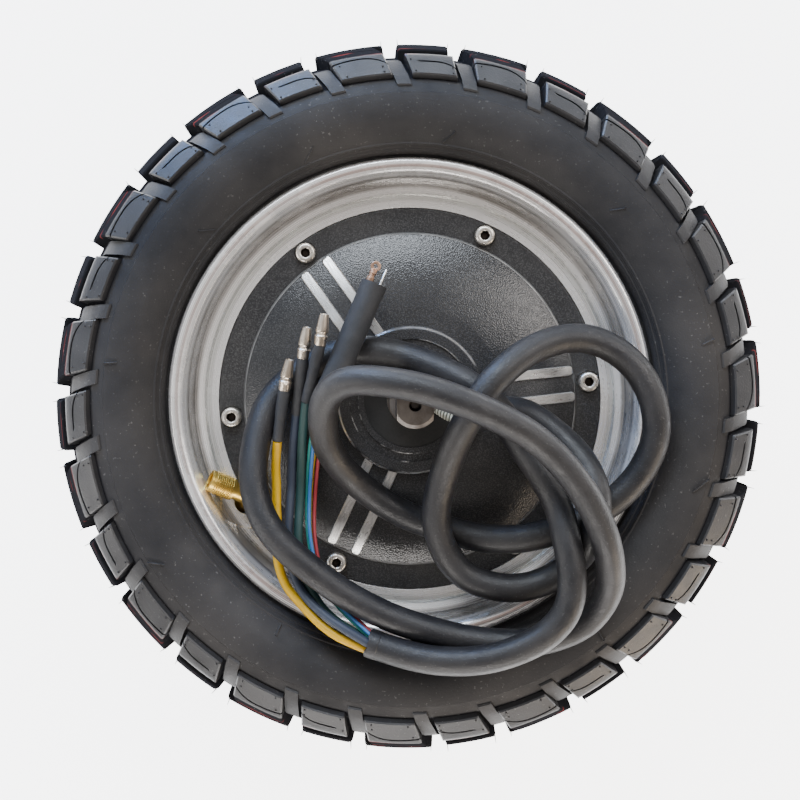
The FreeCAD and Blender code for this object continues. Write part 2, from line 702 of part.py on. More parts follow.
# hand-laid route of the motor cable, from the axle to its stripped end
CABLE = [
    (19, -6.5, 43), (22.5, -6, 41), (27, -4.5, 39), (33, -3, 38), (39.5, -4, 38), (46.5, -8.5, 39),
    (53.5, -14.5, 41.5), (58.5, -20.5, 46), (62, -28.5, 50.5), (62.5, -37, 52),
    (60.5, -46.5, 50.5), (56, -55, 45), (49, -61, 41.5), (39.5, -64.5, 41), (29.5, -64.5, 41.5),
    (18.5, -61, 41), (11.5, -53, 42.5), (8, -43.5, 44.5), (8, -34, 46.5), (11, -22, 51),
    (14.5, -12, 56), (19, -3, 60), (25, 6.5, 60.5), (33, 14, 57), (43.5, 20, 51),
    (55.5, 22.5, 46.5), (66.5, 20, 44.5), (76.5, 12.5, 44.5), (82.5, 2, 45), (84.5, -10.5, 44),
    (80.5, -22.5, 42), (73, -32, 41), (64.5, -38, 40.5), (55.5, -43, 40), (45.5, -46, 40.5),
    (35.5, -48, 40), (23.5, -48, 35.5), (10, -44.5, 33), (-4, -39.5, 33.5), (-18.5, -29.5, 36),
    (-29, -17, 46), (-31, -5.5, 55.5), (-29, 4, 64), (-21.5, 8.5, 70.5), (-10.5, 8, 75),
    (1.5, 6, 76), (13.5, 2, 76), (26.5, -3.5, 74), (40, -11, 70.5), (52, -23, 67),
    (60.5, -36.5, 64), (65.5, -49.5, 60), (67.5, -63, 52), (61, -75.5, 46.5), (48.5, -81.5, 45.5),
    (35, -83.5, 45), (19.5, -82, 44.5), (5.5, -78.5, 45), (-8, -74, 45), (-22.5, -66.5, 45.5),
    (-34, -58, 46), (-44, -49.5, 46), (-50.5, -41.5, 45), (-54, -32.5, 43), (-55, -23.5, 41),
    (-54, -14, 38), (-51.5, -5, 35.5), (-48, 1.5, 33.5), (-42.5, 7, 33), (-36, 12, 33.5),
    (-29.5, 15.5, 34), (-23, 17, 35.5), (-16, 18, 36.5), (-4.5, 16.5, 40.5), (9, 11.5, 45),
    (20.5, 5.5, 49.5), (30, -3, 50), (35.5, -13, 48.5), (43.5, -24, 50.5), (49.5, -35.5, 52.5),
    (51.5, -46.5, 56.5), (53.5, -57.5, 58), (52.5, -69, 58), (45.5, -78, 57), (34.5, -84, 55.5),
    (22, -87.5, 54), (8, -88, 51), (-4, -86, 48), (-14.5, -82.5, 46.5),
]

# the three phase leads, from the cable's end to their sleeves
PHASE_LEADS = {
    "yellow": [
        (-15.3, -84.9, 46.2), (-21, -82.5, 46.5), (-27.5, -79.5, 45.5), (-33.5, -75, 42.5),
        (-39, -69.5, 39.5), (-43.5, -64.5, 38), (-46, -58.5, 37.5), (-47, -52, 37.5),
        (-46.5, -44.5, 37.5), (-47, -37, 36.5), (-47, -29.5, 35), (-47.5, -21.5, 35),
        (-46.5, -13.5, 38.5)],
    "blue": [
        (-14.7, -82.4, 48.9), (-21.5, -78.5, 48.5), (-28, -74.5, 46.5), (-33.5, -70.5, 43.5),
        (-38.5, -65.5, 40), (-41.5, -59, 38), (-43, -52, 37.5), (-43, -44.5, 37.5),
        (-42.5, -37, 36), (-42, -29.5, 34), (-41.5, -17, 34), (-40, -4.5, 37.5)],
    "green": [
        (-14.3, -82.5, 44.1), (-20.5, -79, 44), (-26.5, -75.5, 42.5), (-31.5, -71, 40.5),
        (-35.5, -65, 38.5), (-38, -58.5, 37.5), (-39.5, -51.5, 37.5), (-39.5, -44, 37),
        (-39, -36, 34.5), (-38.5, -24, 34), (-38, -11.5, 38), (-36.5, 0, 42.5)],
}

# where each phase lead's sleeve ends and its bullet connector's tip lies
BULLETS = {
    "yellow": ((-44, 4.5, 41.5), (-42, 14.5, 43)),
    "blue": ((-37.5, 15.5, 43), (-36, 25.5, 44.5)),
    "green": ((-31.5, 20, 47.5), (-30, 30, 48.5)),
}

# the five sensor wires run as one loose bundle from the cable's end into their sleeve
HALL_BUNDLE = [
    (-14.5, -82.5, 46.5), (-21.5, -76.5, 43), (-26.5, -71.5, 39.4), (-30.5, -67, 38),
    (-33, -61, 37.6), (-34.5, -53.5, 37.1), (-35.5, -46, 35.8), (-35.5, -38, 33.5),
    (-35, -28.5, 33), (-34, -18.5, 36), (-32.5, -9, 41), (-30, 0.5, 46.5),
]
HALL_SLEEVE_TOP = (-13, 40.5, 45)

# each sensor wire's place across the bundle, sideways and up, at its start and at its end
HALL_PLACES = {
    "blue": ((2.6, 1.6), (-0.8, 2)),
    "red": ((3.35, 0.1), (2, 0.9)),
    "black": ((2.9, -2.1), (1.3, -1.8)),
    "green": ((1.5, 0.45), (-2.2, 0.3)),
    "yellow": ((2, -0.9), (-0.1, -0.1)),
}
ACROSS_START = (Vector(0.316, 0.949, 0), Vector(-0.127, 0.042, 0.991))
ACROSS_END = (Vector(0.916, -0.401, 0), Vector(0.009, 0.021, 1))


def vectors(points):
    return [Vector(*point) for point in points]


def strand(bundle, start, end):
    """One wire of a bundle, whose place across it changes evenly from start to end."""
    first = ACROSS_START[0] * start[0] + ACROSS_START[1] * start[1]
    last = ACROSS_END[0] * end[0] + ACROSS_END[1] * end[1]
    steps = len(bundle) - 1
    return [point + first + (last - first) * (i / steps) for i, point in enumerate(bundle)]


def tapered(start, end, wide, narrow):
    along = end - start
    return Part.makeCone(wide / 2, narrow / 2, along.Length, start, along)


def make_cable():
    route = vectors(CABLE)
    cable = bent_tube("motor_cable", route, size("cable"))
    shape_piece("motor_cable", cable)
    sleeve = bent_tube("exit_sleeve", EXIT_ROUTE, size("exit_sleeve"))
    shape_piece("exit_sleeve", sleeve)
    shrink = tapered(EXIT_ROUTE[-1], route[0], size("exit_sleeve") + 0.6, size("cable") - 0.4)
    shape_piece("exit_shrink", shrink.cut(sleeve).cut(cable))
    return cable


def make_phase_leads(cable):
    """Three leads; each starts at the cable's cut end and carries a sleeve and a bullet."""
    for colour, points in PHASE_LEADS.items():
        route = vectors(points)
        lead = bent_tube(f"lead_{colour}", route, size("lead")).cut(cable)
        shape_piece(f"lead_{colour}", lead)
        sleeve_end, tip = vectors(BULLETS[colour])
        along = sleeve_end - route[-1]
        half = route[-1] + along * 0.45
        sleeve = rod(route[-1], half, size("lead_sleeve") / 2 - 0.1)
        sleeve = sleeve.fuse(rod(half, sleeve_end, size("lead_sleeve") / 2)).cut(lead)
        shape_piece(f"lead_sleeve_{colour}", sleeve)
        along = tip - sleeve_end
        ring = sleeve_end + along * 0.3
        bullet = rod(sleeve_end, ring, size("bullet") / 2)
        bullet = bullet.fuse(tapered(ring, tip, size("bullet") - 0.3, size("bullet") - 1.5))
        along.normalize()
        bullet = bullet.cut(rod(tip - along * 5, tip + along, 0.9)).cut(sleeve)
        shape_piece(f"bullet_{colour}", bullet)


def make_hall_wires(cable):
    """Five thin wires in a loose bundle, the sleeve over their ends, and two terminals."""
    bundle = vectors(HALL_BUNDLE)
    low, high = bundle[-1], Vector(*HALL_SLEEVE_TOP)
    sleeve = rod(low, high, size("hall_sleeve") / 2)
    for colour, (start, end) in HALL_PLACES.items():
        route = strand(bundle, start, end)
        name = f"hall_wire_{colour}"
        wire = bent_tube(name, route, size("hall_wire")).cut(cable)
        shape_piece(name, wire)
        sleeve = sleeve.cut(wire)
    shape_piece("hall_sleeve", sleeve)
    along = high - low
    along.normalize()
    side = along.cross(Z_AXIS)
    # a crimped ring terminal, and a bare pin beside it
    apart, crimp_length, pin_length, tab = 1.9, 5, 6, 0.8
    foot = high - side * apart
    ring = foot + along * (crimp_length + 0.6)
    crimp = rod(foot, foot + along * crimp_length, 1.2)
    crimp = crimp.fuse(Part.makeCylinder(1.9, tab, ring - Z_AXIS * (tab / 2), Z_AXIS))
    crimp = crimp.cut(Part.makeCylinder(0.8, 2 * tab, ring - Z_AXIS * tab, Z_AXIS))
    pin_foot = high + side * apart
    pin = rod(pin_foot, pin_foot + along * pin_length, 0.5)
    shape_piece("hall_terminals", Part.makeCompound([crimp, pin]))


# ---------------------------------------------------------------- the whole wheel

def check_and_write():
    doc.recompute()
    for item in doc.Objects:
        if "Invalid" in item.State or "Error" in item.State:
            raise RuntimeError(f"{item.Label} failed: {item.State}")
    for piece in pieces:
        if piece.Shape.isNull() or not piece.Shape.isValid():
            raise RuntimeError(f"{piece.Label} has no valid shape")
    os.makedirs(OUT_DIR, exist_ok=True)
    for piece in pieces:
        piece.Shape.exportStep(os.path.join(OUT_DIR, f"{piece.Label}.step"))
    print(f"{len(pieces)} pieces written")


make_tyre()
make_inner_tube()
make_valve()
make_rim()
make_front_cover()
make_rear_cover()
make_screws("front_cover_screws", 1)
make_screws("rear_cover_screws", -1)
make_axle()
for bearing_name, bearing_side in (("front_bearing", 1), ("rear_bearing", -1)):
    make_bearing(bearing_name, bearing_side)
make_oil_seal("front_oil_seal", 1)
make_oil_seal("rear_oil_seal", -1)
make_gasket("front_gasket", 1)
make_gasket("rear_gasket", -1)
make_stator()
make_rotor()
make_hall_board()
motor_cable = make_cable()
make_phase_leads(motor_cable)
make_hall_wires(motor_cable)
check_and_write()
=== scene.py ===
"""Looks of the hub motor wheel: the tyre's tread, the turned rim, the coated covers and the wires.

Metres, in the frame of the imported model: the origin is the wheel's centre and +Z is the cable side.
Sizes are written in millimetres and turned into metres where a piece is made.
"""
import math
import random

import bmesh
import bpy
from mathutils import Matrix, Vector, noise


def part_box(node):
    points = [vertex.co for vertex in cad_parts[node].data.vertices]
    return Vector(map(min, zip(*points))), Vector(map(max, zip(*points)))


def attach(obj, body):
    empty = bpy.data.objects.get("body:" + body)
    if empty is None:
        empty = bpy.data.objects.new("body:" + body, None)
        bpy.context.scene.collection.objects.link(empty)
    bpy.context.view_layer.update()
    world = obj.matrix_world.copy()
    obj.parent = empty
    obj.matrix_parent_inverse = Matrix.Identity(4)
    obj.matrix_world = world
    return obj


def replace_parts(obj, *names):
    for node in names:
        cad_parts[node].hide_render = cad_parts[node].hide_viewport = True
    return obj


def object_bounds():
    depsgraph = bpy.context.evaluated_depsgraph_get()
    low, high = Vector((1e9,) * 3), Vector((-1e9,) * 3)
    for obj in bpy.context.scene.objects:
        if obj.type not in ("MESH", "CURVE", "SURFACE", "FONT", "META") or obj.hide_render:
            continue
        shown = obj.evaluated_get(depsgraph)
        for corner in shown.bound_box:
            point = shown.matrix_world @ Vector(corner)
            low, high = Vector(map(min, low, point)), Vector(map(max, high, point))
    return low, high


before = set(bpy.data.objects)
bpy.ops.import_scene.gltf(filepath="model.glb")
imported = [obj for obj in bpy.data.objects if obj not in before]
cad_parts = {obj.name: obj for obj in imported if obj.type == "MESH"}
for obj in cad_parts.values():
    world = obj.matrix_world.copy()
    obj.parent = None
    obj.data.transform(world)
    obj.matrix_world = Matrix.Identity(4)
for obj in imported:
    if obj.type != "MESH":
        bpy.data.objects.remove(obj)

cad_low, cad_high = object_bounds()
MM = 0.001
STILL, TURNING = "axle_side", "wheel"
random.seed(7)


# ---------------- camera

CAMERA_PLACE = Vector((-18.8, 22.3, 599.7)) * MM
CAMERA_AIM = Vector((-3.2, -1.0, 0)) * MM
LENS = 73.2


def make_camera():
    """Camera high above the cable side, with +Y upwards in its view."""
    data = bpy.data.cameras.new("camera")
    data.lens = LENS
    camera = bpy.data.objects.new("camera", data)
    bpy.context.scene.collection.objects.link(camera)
    ahead = (CAMERA_AIM - CAMERA_PLACE).normalized()
    right = ahead.cross(Vector((0, 1, 0))).normalized()
    turn = Matrix((right, right.cross(ahead), -ahead)).transposed()
    camera.matrix_world = Matrix.Translation(CAMERA_PLACE) @ turn.to_4x4()
    bpy.context.scene.camera = camera


# ---------------- materials

LOOKS = {}


def add_node(tree, kind, inputs, output=0, **settings):
    """Add a node; an input is a number, a colour or another node's output."""
    made = tree.nodes.new(kind)
    for key, value in settings.items():
        setattr(made, key, value)
    for socket, value in inputs.items():
        if isinstance(value, bpy.types.NodeSocket):
            tree.links.new(value, made.inputs[socket])
        else:
            made.inputs[socket].default_value = value
    return made.outputs[output]


class Look:
    """One procedural material, built up node by node and kept in LOOKS by its name."""

    def __init__(self, name, color, rough, metal=0.0, **finish):
        LOOKS[name] = bpy.data.materials.new(name)
        LOOKS[name].use_nodes = True
        self.tree = LOOKS[name].node_tree
        self.shader = self.tree.nodes["Principled BSDF"]
        self.set("Base Color", (*color, 1))
        self.set("Roughness", rough)
        self.set("Metallic", metal)
        for socket, value in finish.items():
            self.set(socket.replace("_", " "), value)
        self.place = self.node("ShaderNodeTexCoord", {}, "Object")

    def node(self, kind, inputs, output=0, **settings):
        return add_node(self.tree, kind, inputs, output, **settings)

    def rough(self, marks, low, high):
        """Roughness that follows the marks' noise from low to high."""
        self.set("Roughness", self.ramp(marks, 0.3, 0.7, low, high))

    def set(self, socket, value):
        """Give the shader's socket a constant or another node's output."""
        if isinstance(value, bpy.types.NodeSocket):
            self.tree.links.new(value, self.shader.inputs[socket])
        else:
            self.shader.inputs[socket].default_value = value

    def noise(self, scale, detail=3.0, rough=0.5, vector=None):
        """Noise from 0 to 1; the scale is in waves per metre."""
        return self.node("ShaderNodeTexNoise", {
            "Vector": vector or self.place, "Scale": scale, "Detail": detail,
            "Roughness": rough})

    def cells(self, scale):
        """Rounded grains; the scale is in grains per metre."""
        return self.node("ShaderNodeTexVoronoi", {
            "Vector": self.place, "Scale": scale}, "Distance")

    def lathe(self, scale, rough=0.5):
        """Noise that runs in rings round the axle; the scale is in waves per metre."""
        _, _, height = self.split()
        return self.noise(1, 2, rough, self.join(
            self.times(self.radius(), scale), self.times(height, scale), 0))

    def stripes(self, axis, vector, scale, distortion, detail=2.0):
        """Even bands across one axis of a vector."""
        return self.node("ShaderNodeTexWave", {
            "Vector": vector, "Scale": scale, "Distortion": distortion, "Detail": detail},
            "Fac", wave_type="BANDS", bands_direction=axis)

    def ramp(self, value, low, high, to_low=0.0, to_high=1.0):
        """Value between low and high, spread over the two results and clamped."""
        return self.node("ShaderNodeMapRange", {
            "Value": value, "From Min": low, "From Max": high,
            "To Min": to_low, "To Max": to_high})

    def math(self, operation, *values):
        """Result of a sum on numbers or other nodes' outputs."""
        return self.node("ShaderNodeMath", dict(enumerate(values)), operation=operation)

    def times(self, *values):
        result = values[0]
        for value in values[1:]:
            result = self.math("MULTIPLY", result, value)
        return result

    def mix(self, share, first, second):
        """Colour between two colours."""
        colours = [value if isinstance(value, bpy.types.NodeSocket) else (*value, 1)
                   for value in (first, second)]
        return self.node("ShaderNodeMix", {0: share, 6: colours[0], 7: colours[1]}, 2,
                         data_type="RGBA")

    def split(self, vector=None):
        """X, Y and Z of a vector, which is the place on the object if none is given."""
        return self.node("ShaderNodeSeparateXYZ", {0: vector or self.place}).node.outputs

    def brush(self):
        """The vector that the mesh keeps at each of its points."""
        return self.node("ShaderNodeAttribute", {}, "Vector", attribute_name="brush")

    def patches(self, value, first, second, low=0.35, high=0.68):
        """Colour that goes from the first to the second in soft patches."""
        return self.mix(self.ramp(value, low, high), first, second)

    def radius(self):
        """Distance from the axle."""
        x, y, _ = self.split()
        squares = self.math("ADD", self.times(x, x), self.times(y, y))
        return self.math("SQRT", squares)

    def join(self, x, y, z):
        """Vector of three values."""
        return self.node("ShaderNodeCombineXYZ", {0: x, 1: y, 2: z})

    def band(self, value, middle, half, soft):
        """1 within half of the middle, fading to 0 over soft; millimetres."""
        off = self.math("ABSOLUTE", self.math("SUBTRACT", value, middle * MM))
        return self.ramp(off, half * MM, (half + soft) * MM, 1.0, 0.0)

    def bump(self, height, depth, strength=1.0):
        """Relief of a depth in millimetres over all that is there already."""
        inputs = {"Height": height, "Distance": depth * MM, "Strength": strength}
        before = self.shader.inputs["Normal"].links
        if before:
            inputs["Normal"] = before[0].from_socket
        self.set("Normal", self.node("ShaderNodeBump", inputs))

    def soften(self, radius):
        """Light catches on edges as if they had a small radius, in millimetres."""
        self.set("Normal", self.node("ShaderNodeBevel", {"Radius": radius * MM}, samples=4))

    def around_z(self):
        """Brushed the way a lathe leaves it, round the axle."""
        self.set("Tangent", self.node("ShaderNodeTangent", {}, direction_type="RADIAL", axis="Z"))


def tyre_rubber():
    """Moulded rubber: dusty walls, block faces with a sheen, dull treads, worn paint lines."""
    look = Look("tyre_rubber", (0.016, 0.016, 0.018), 0.5, Specular_IOR_Level=0.5)
    radius = look.radius()
    _, _, height = look.split()
    side = look.math("ABSOLUTE", height)
    cloud = look.noise(22, 4, 0.6)
    face, tread, _ = look.split(look.brush())
    wall = look.patches(cloud, (0.009, 0.009, 0.011), (0.032, 0.03, 0.03))
    tone = look.mix(look.math("MAXIMUM", face, tread), wall, (0.014, 0.014, 0.016))
    dust = look.times(look.ramp(look.noise(900, 2), 0.66, 0.75), look.ramp(cloud, 0.4, 0.6, 0.2, 1))
    tone = look.mix(look.times(dust, 0.5), tone, (0.16, 0.155, 0.15))
    # worn mould lines, painted round the tread, show on some of the blocks
    ridge = look.times(look.band(side, 33.8, 0.25, 0.25), look.ramp(radius, 0.1185, 0.119),
                       look.ramp(look.noise(60, 1), 0.5, 0.58))
    crown = look.times(look.band(side, 29, 0.35, 0.3), look.ramp(radius, 0.1213, 0.1216),
                       look.ramp(look.noise(90, 2), 0.52, 0.64))
    paint = look.math("MAXIMUM", look.times(ridge, 0.2), look.times(crown, 0.5))
    tone = look.mix(paint, tone, (0.3, 0.045, 0.04))
    look.set("Base Color", tone)
    worn = look.ramp(look.noise(130, 4), 0.3, 0.7, 0.0, 0.16)
    look.set("Roughness", look.math("ADD", worn, look.ramp(face, 0, 1, 0.54, 0.34)))
    shine = look.math("SUBTRACT", look.ramp(face, 0, 1, 0.34, 0.65), look.times(tread, 0.34))
    look.set("Specular IOR Level", shine)
    look.bump(look.lathe(700), 0.05, 0.5)
    look.bump(look.noise(1500, 3), 0.12, 0.7)


def turned_alloy():
    """Rim: bright where the lathe cut it, duller with fine marks further in."""
    look = Look("turned_alloy", (0.9, 0.89, 0.88), 0.3, 0.7, Anisotropic=0.4)
    radius = look.radius()
    lathe = look.lathe(2600, 0.6)
    smear = look.ramp(look.noise(60, 4, 0.6), 0.5, 0.68)
    inside = look.ramp(radius, 0.0795, 0.0775)
    tone = look.patches(look.lathe(380), (0.98, 0.97, 0.96), (0.86, 0.84, 0.83), high=0.7)
    tone = look.mix(look.times(smear, inside, 0.35), tone, (0.5, 0.48, 0.47))
    patch = look.ramp(look.noise(28, 3, 0.6), 0.3, 0.6, 0.45, 1)
    tone = look.mix(look.times(look.band(radius, 77.0, 1.3, 0.7), patch), tone, (0.3, 0.285, 0.27))
    tone = look.mix(look.times(look.band(radius, 72.2, 0.8, 0.7), 0.7), tone, (0.6, 0.6, 0.57))
    # painted reflection: a pinkish ring near the lip at 82 mm, in patches
    painted_reflection = look.times(look.band(radius, 82.1, 0.4, 0.4),
                       look.ramp(look.noise(16, 2), 0.35, 0.6, 0.4, 1))
    tone = look.mix(look.times(painted_reflection, 0.8), tone, (0.46, 0.33, 0.29))
    look.set("Base Color", tone)
    look.set("Roughness", look.math("ADD", look.ramp(lathe, 0.3, 0.7, 0.18, 0.34),
                                    look.times(smear, 0.14)))
    look.soften(0.35)
    look.around_z()
    look.bump(lathe, 0.012, 0.8)


def painted_highlight_ring():
    """Light grey metal of a thin ring painted as a highlight, dull in patches."""
    look = Look("painted_highlight_ring", (0.34, 0.34, 0.34), 0.35, 0.5)
    mark = look.noise(60, 3)
    look.rough(mark, 0.26, 0.44)
    look.set("Base Color", look.patches(mark, (0.34, 0.34, 0.34), (0.12, 0.12, 0.12), high=0.7))


def pebbled_coat():
    """Black powder coat with a fine grain, its light specks partly painted sparkle, worn to the metal on
    the boss's edges.
    """
    look = Look("pebbled_coat", (0.02, 0.02, 0.022), 0.55, Specular_IOR_Level=0.5)
    radius = look.radius()
    _, _, height = look.split()
    cloud = look.noise(40, 4, 0.6)
    top = look.ramp(look.math("ABSOLUTE", height), 0.0288, 0.0292)
    patchy = look.ramp(look.noise(150, 3, 0.6), 0.5, 0.62)
    rim = look.times(look.band(radius, 25.6, 0.2, 0.2), look.ramp(look.noise(45, 2), 0.42, 0.52))
    groove = look.math("MAXIMUM", look.band(radius, 21.6, 0.1, 0.15), look.band(radius, 18.7, 0.1, 0.15))
    bare = look.times(top, look.math("MAXIMUM", rim, look.times(groove, patchy)))
    tone = look.patches(cloud, (0.02, 0.02, 0.022), (0.038, 0.037, 0.037), high=0.7)
    # light specks: the coat's grain, and partly painted sparkle of light on it
    grain_and_sparkle = look.ramp(look.noise(2200, 2), 0.46, 0.7)
    tone = look.mix(look.times(grain_and_sparkle, 0.3), tone, (0.16, 0.16, 0.16))
    look.set("Base Color", look.mix(bare, tone, (0.62, 0.61, 0.6)))
    look.set("Metallic", bare)
    look.set("Roughness", look.mix(bare, look.node("ShaderNodeCombineColor", {
        0: look.ramp(cloud, 0.3, 0.7, 0.5, 0.64)}), (0.3, 0.3, 0.3)))
    look.soften(0.5)
    look.bump(look.cells(2100), 0.08, 0.8)
    look.bump(look.noise(3200, 2), 0.04, 0.7)


def brushed_bar():
    """Bare aluminium, ground along the bar; the mesh says how far along and across."""
    look = Look("brushed_bar", (0.8, 0.8, 0.79), 0.3, 1.0)
    streak = look.noise(1, 3, 0.6, look.brush())
    smear = look.noise(120, 3)
    look.set("Base Color", look.patches(streak, (0.88, 0.87, 0.86), (0.5, 0.5, 0.49), 0.3, 0.7))
    look.set("Roughness", look.math("ADD", look.ramp(streak, 0.3, 0.7, 0.2, 0.42),
                                    look.ramp(smear, 0.5, 0.7, 0.0, 0.12)))
    look.bump(streak, 0.02, 0.8)


def metal(name, color, worn, rough, scale=500.0, relief=0.01, edge=0.2):
    """Plain metal with small marks and darker, duller patches; darker still and duller where the mesh
    marks it.
    """
    look = Look(name, color, rough, 1.0)
    marks = look.noise(scale, 4, 0.6)
    groove, _, _ = look.split(look.brush())
    tone = look.patches(look.noise(scale / 6, 3, 0.55), color, worn)
    look.set("Base Color", look.mix(groove, tone, tuple(channel * 0.22 for channel in worn)))
    look.rough(marks, rough - 0.07, rough + 0.12)
    look.soften(edge)
    look.bump(marks, relief, 0.6)


def screw_steel():
    """Stainless cap screw whose socket is painted dark as shade; the mesh says where the socket is."""
    look = Look("screw_steel", (0.8, 0.76, 0.7), 0.28, 0.9)
    marks = look.noise(900, 4, 0.6)
    socket, _, _ = look.split(look.brush())
    tone = look.patches(look.noise(200, 3), (0.86, 0.82, 0.76), (0.62, 0.57, 0.5))
    # painted shade: the socket's walls and floor are darkened
    look.set("Base Color", look.mix(look.ramp(socket, 0.2, 0.8), tone, (0.07, 0.055, 0.045)))
    look.set("Roughness", look.math("ADD", look.ramp(marks, 0.3, 0.7, 0.2, 0.4),
                                    look.times(socket, 0.25)))
    look.bump(marks, 0.004, 0.6)


def turned_steel():
    """Axle: rings from the lathe on its ends and its round faces, with painted shade in its centre
    holes.
    """
    look = Look("turned_steel", (0.6, 0.59, 0.57), 0.3, 1.0, Anisotropic=0.4)
    radius = look.radius()
    _, _, height = look.split()
    rings = look.lathe(2300, 0.6)
    tone = look.patches(look.noise(180, 4, 0.6), (0.19, 0.17, 0.155), (0.1, 0.085, 0.075),
                        0.42, 0.7)
    # painted shade: near black inside the centre holes at the axle's ends
    hollow = look.times(look.ramp(radius, 0.00215, 0.002), look.ramp(
        look.math("ABSOLUTE", height), 0.066, 0.0665))
    look.set("Base Color", look.mix(hollow, tone, (0.02, 0.018, 0.016)))
    look.rough(rings, 0.34, 0.5)
    look.soften(0.2)
    look.around_z()
    look.bump(rings, 0.02, 0.8)


def jacket():
    """Rubber cable jacket: matt, faintly dusty, with long shallow ripples."""
    look = Look("cable_jacket", (0.02, 0.02, 0.021), 0.5, Specular_IOR_Level=0.5)
    dust = look.ramp(look.noise(1500, 2), 0.66, 0.76)
    tone = look.patches(look.noise(55, 4, 0.6), (0.008, 0.008, 0.01), (0.022, 0.021, 0.022), high=0.7)
    tone = look.mix(look.times(dust, 0.4), tone, (0.14, 0.14, 0.14))
    scuff = look.times(look.ramp(look.noise(260, 5, 0.7), 0.62, 0.7), 0.3)
    look.set("Base Color", look.mix(scuff, tone, (0.09, 0.085, 0.08)))
    look.rough(look.noise(210, 4), 0.4, 0.56)
    look.bump(look.noise(120, 2), 0.12, 0.4)
    look.bump(look.noise(1300, 3), 0.16, 0.9)


def plastic(name, color, second, rough=0.42, scale=300.0, relief=0.03, dirt=0.25):
    """Wire insulation, shrink tube or moulded plastic, with handling marks."""
    look = Look(name, color, rough, Specular_IOR_Level=0.45)
    marks = look.noise(scale * 4, 3, 0.6)
    tone = look.patches(look.noise(scale / 4, 3, 0.55), color, second)
    grime = tuple(channel * 0.35 + 0.01 for channel in second)
    look.set("Base Color", look.mix(look.times(look.ramp(marks, 0.56, 0.7), dirt), tone, grime))
    look.rough(marks, rough - 0.06, rough + 0.1)
    look.bump(marks, relief, 0.6)


def braid_look():
    """Pale glass-fibre sleeving, darker between its threads."""
    look = Look("braid", (0.55, 0.58, 0.5), 0.7, Sheen_Weight=0.2)
    thread = look.stripes("X", look.brush(), 1.0, 0.6)
    soil = look.noise(400, 3)
    tone = look.patches(thread, (0.12, 0.13, 0.1), (0.62, 0.63, 0.55), 0.2, 0.6)
    look.set("Base Color", look.mix(look.ramp(soil, 0.5, 0.7, 0, 0.5), tone, (0.18, 0.19, 0.16)))
    look.rough(soil, 0.6, 0.8)
    look.bump(thread, 0.06, 0.8)


def winding_wire():
    """Enamelled copper in even turns."""
    look = Look("winding_wire", (0.55, 0.2, 0.07), 0.3, 1.0)
    turns = look.stripes("Z", look.place, 220.0, 2.0, 1.0)
    look.set("Base Color", look.mix(turns, (0.2, 0.06, 0.02), (0.62, 0.24, 0.09)))
    look.rough(look.noise(300, 2), 0.22, 0.4)
    look.bump(turns, 0.15, 0.8)


def steel_sheets():
    """Stack of thin sheets, seen as fine lines across the core."""
    look = Look("steel_sheets", (0.3, 0.3, 0.31), 0.45, 1.0)
    sheets = look.stripes("Z", look.place, 300.0, 0.0)
    rust = look.noise(160, 4, 0.6)
    tone = look.mix(sheets, (0.12, 0.12, 0.13), (0.34, 0.34, 0.35))
    look.set("Base Color", look.mix(look.ramp(rust, 0.56, 0.72, 0, 0.5), tone, (0.2, 0.11, 0.06)))
    look.rough(rust, 0.36, 0.55)
    look.bump(sheets, 0.05, 0.7)


def floor_look():
    """Pale floor that gives off a soft light of its own."""
    look = Look("floor", (0.9, 0.9, 0.9), 0.8)
    look.set("Base Color", look.mix(look.noise(3, 3), (0.93, 0.93, 0.93), (0.9, 0.9, 0.905)))
    look.set("Emission Color", (1, 1, 1, 1))
    look.set("Emission Strength", 4.5)


for make_look in (tyre_rubber, turned_alloy, painted_highlight_ring, pebbled_coat, brushed_bar, screw_steel,
                  turned_steel, jacket, braid_look, winding_wire, steel_sheets, floor_look):
    make_look()
metal("stainless", (0.62, 0.58, 0.53), (0.42, 0.38, 0.34), 0.26)
metal("tinned_wire", (0.66, 0.65, 0.62), (0.45, 0.44, 0.42), 0.3, 1200.0, 0.006)
metal("dark_steel", (0.14, 0.14, 0.15), (0.09, 0.085, 0.08), 0.42)
metal("nickel", (0.78, 0.69, 0.58), (0.6, 0.51, 0.41), 0.3, 600.0, 0.002, 0.05)
metal("brass", (0.86, 0.6, 0.14), (0.68, 0.44, 0.1), 0.36, 800.0, 0.004, 0.04)
metal("copper", (0.72, 0.47, 0.34), (0.5, 0.31, 0.22), 0.34, 900.0)
metal("bearing_steel", (0.66, 0.66, 0.67), (0.52, 0.52, 0.53), 0.18)
plastic("seal_rubber", (0.01, 0.01, 0.01), (0.02, 0.019, 0.018), 0.6)
plastic("inner_tube_rubber", (0.02, 0.02, 0.022), (0.03, 0.03, 0.03), 0.5)
plastic("shrink_tube", (0.02, 0.021, 0.024), (0.036, 0.036, 0.038), 0.62, 420.0, 0.09)
plastic("black_plastic", (0.02, 0.02, 0.02), (0.03, 0.03, 0.03), 0.45)
plastic("board_green", (0.02, 0.14, 0.06), (0.03, 0.2, 0.09), 0.4)
plastic("lead_yellow", (0.66, 0.39, 0.0), (0.52, 0.29, 0.0), 0.46)
plastic("lead_blue", (0.022, 0.03, 0.05), (0.034, 0.045, 0.07), 0.5)
plastic("lead_green", (0.014, 0.045, 0.042), (0.02, 0.062, 0.056), 0.5)
plastic("hall_blue", (0.03, 0.13, 0.36), (0.05, 0.2, 0.45))
plastic("hall_red", (0.28, 0.02, 0.03), (0.36, 0.04, 0.05))
plastic("hall_black", (0.02, 0.02, 0.022), (0.04, 0.04, 0.045))
plastic("hall_green", (0.01, 0.18, 0.15), (0.02, 0.25, 0.2))
plastic("hall_yellow", (0.58, 0.34, 0.01), (0.66, 0.4, 0.02))

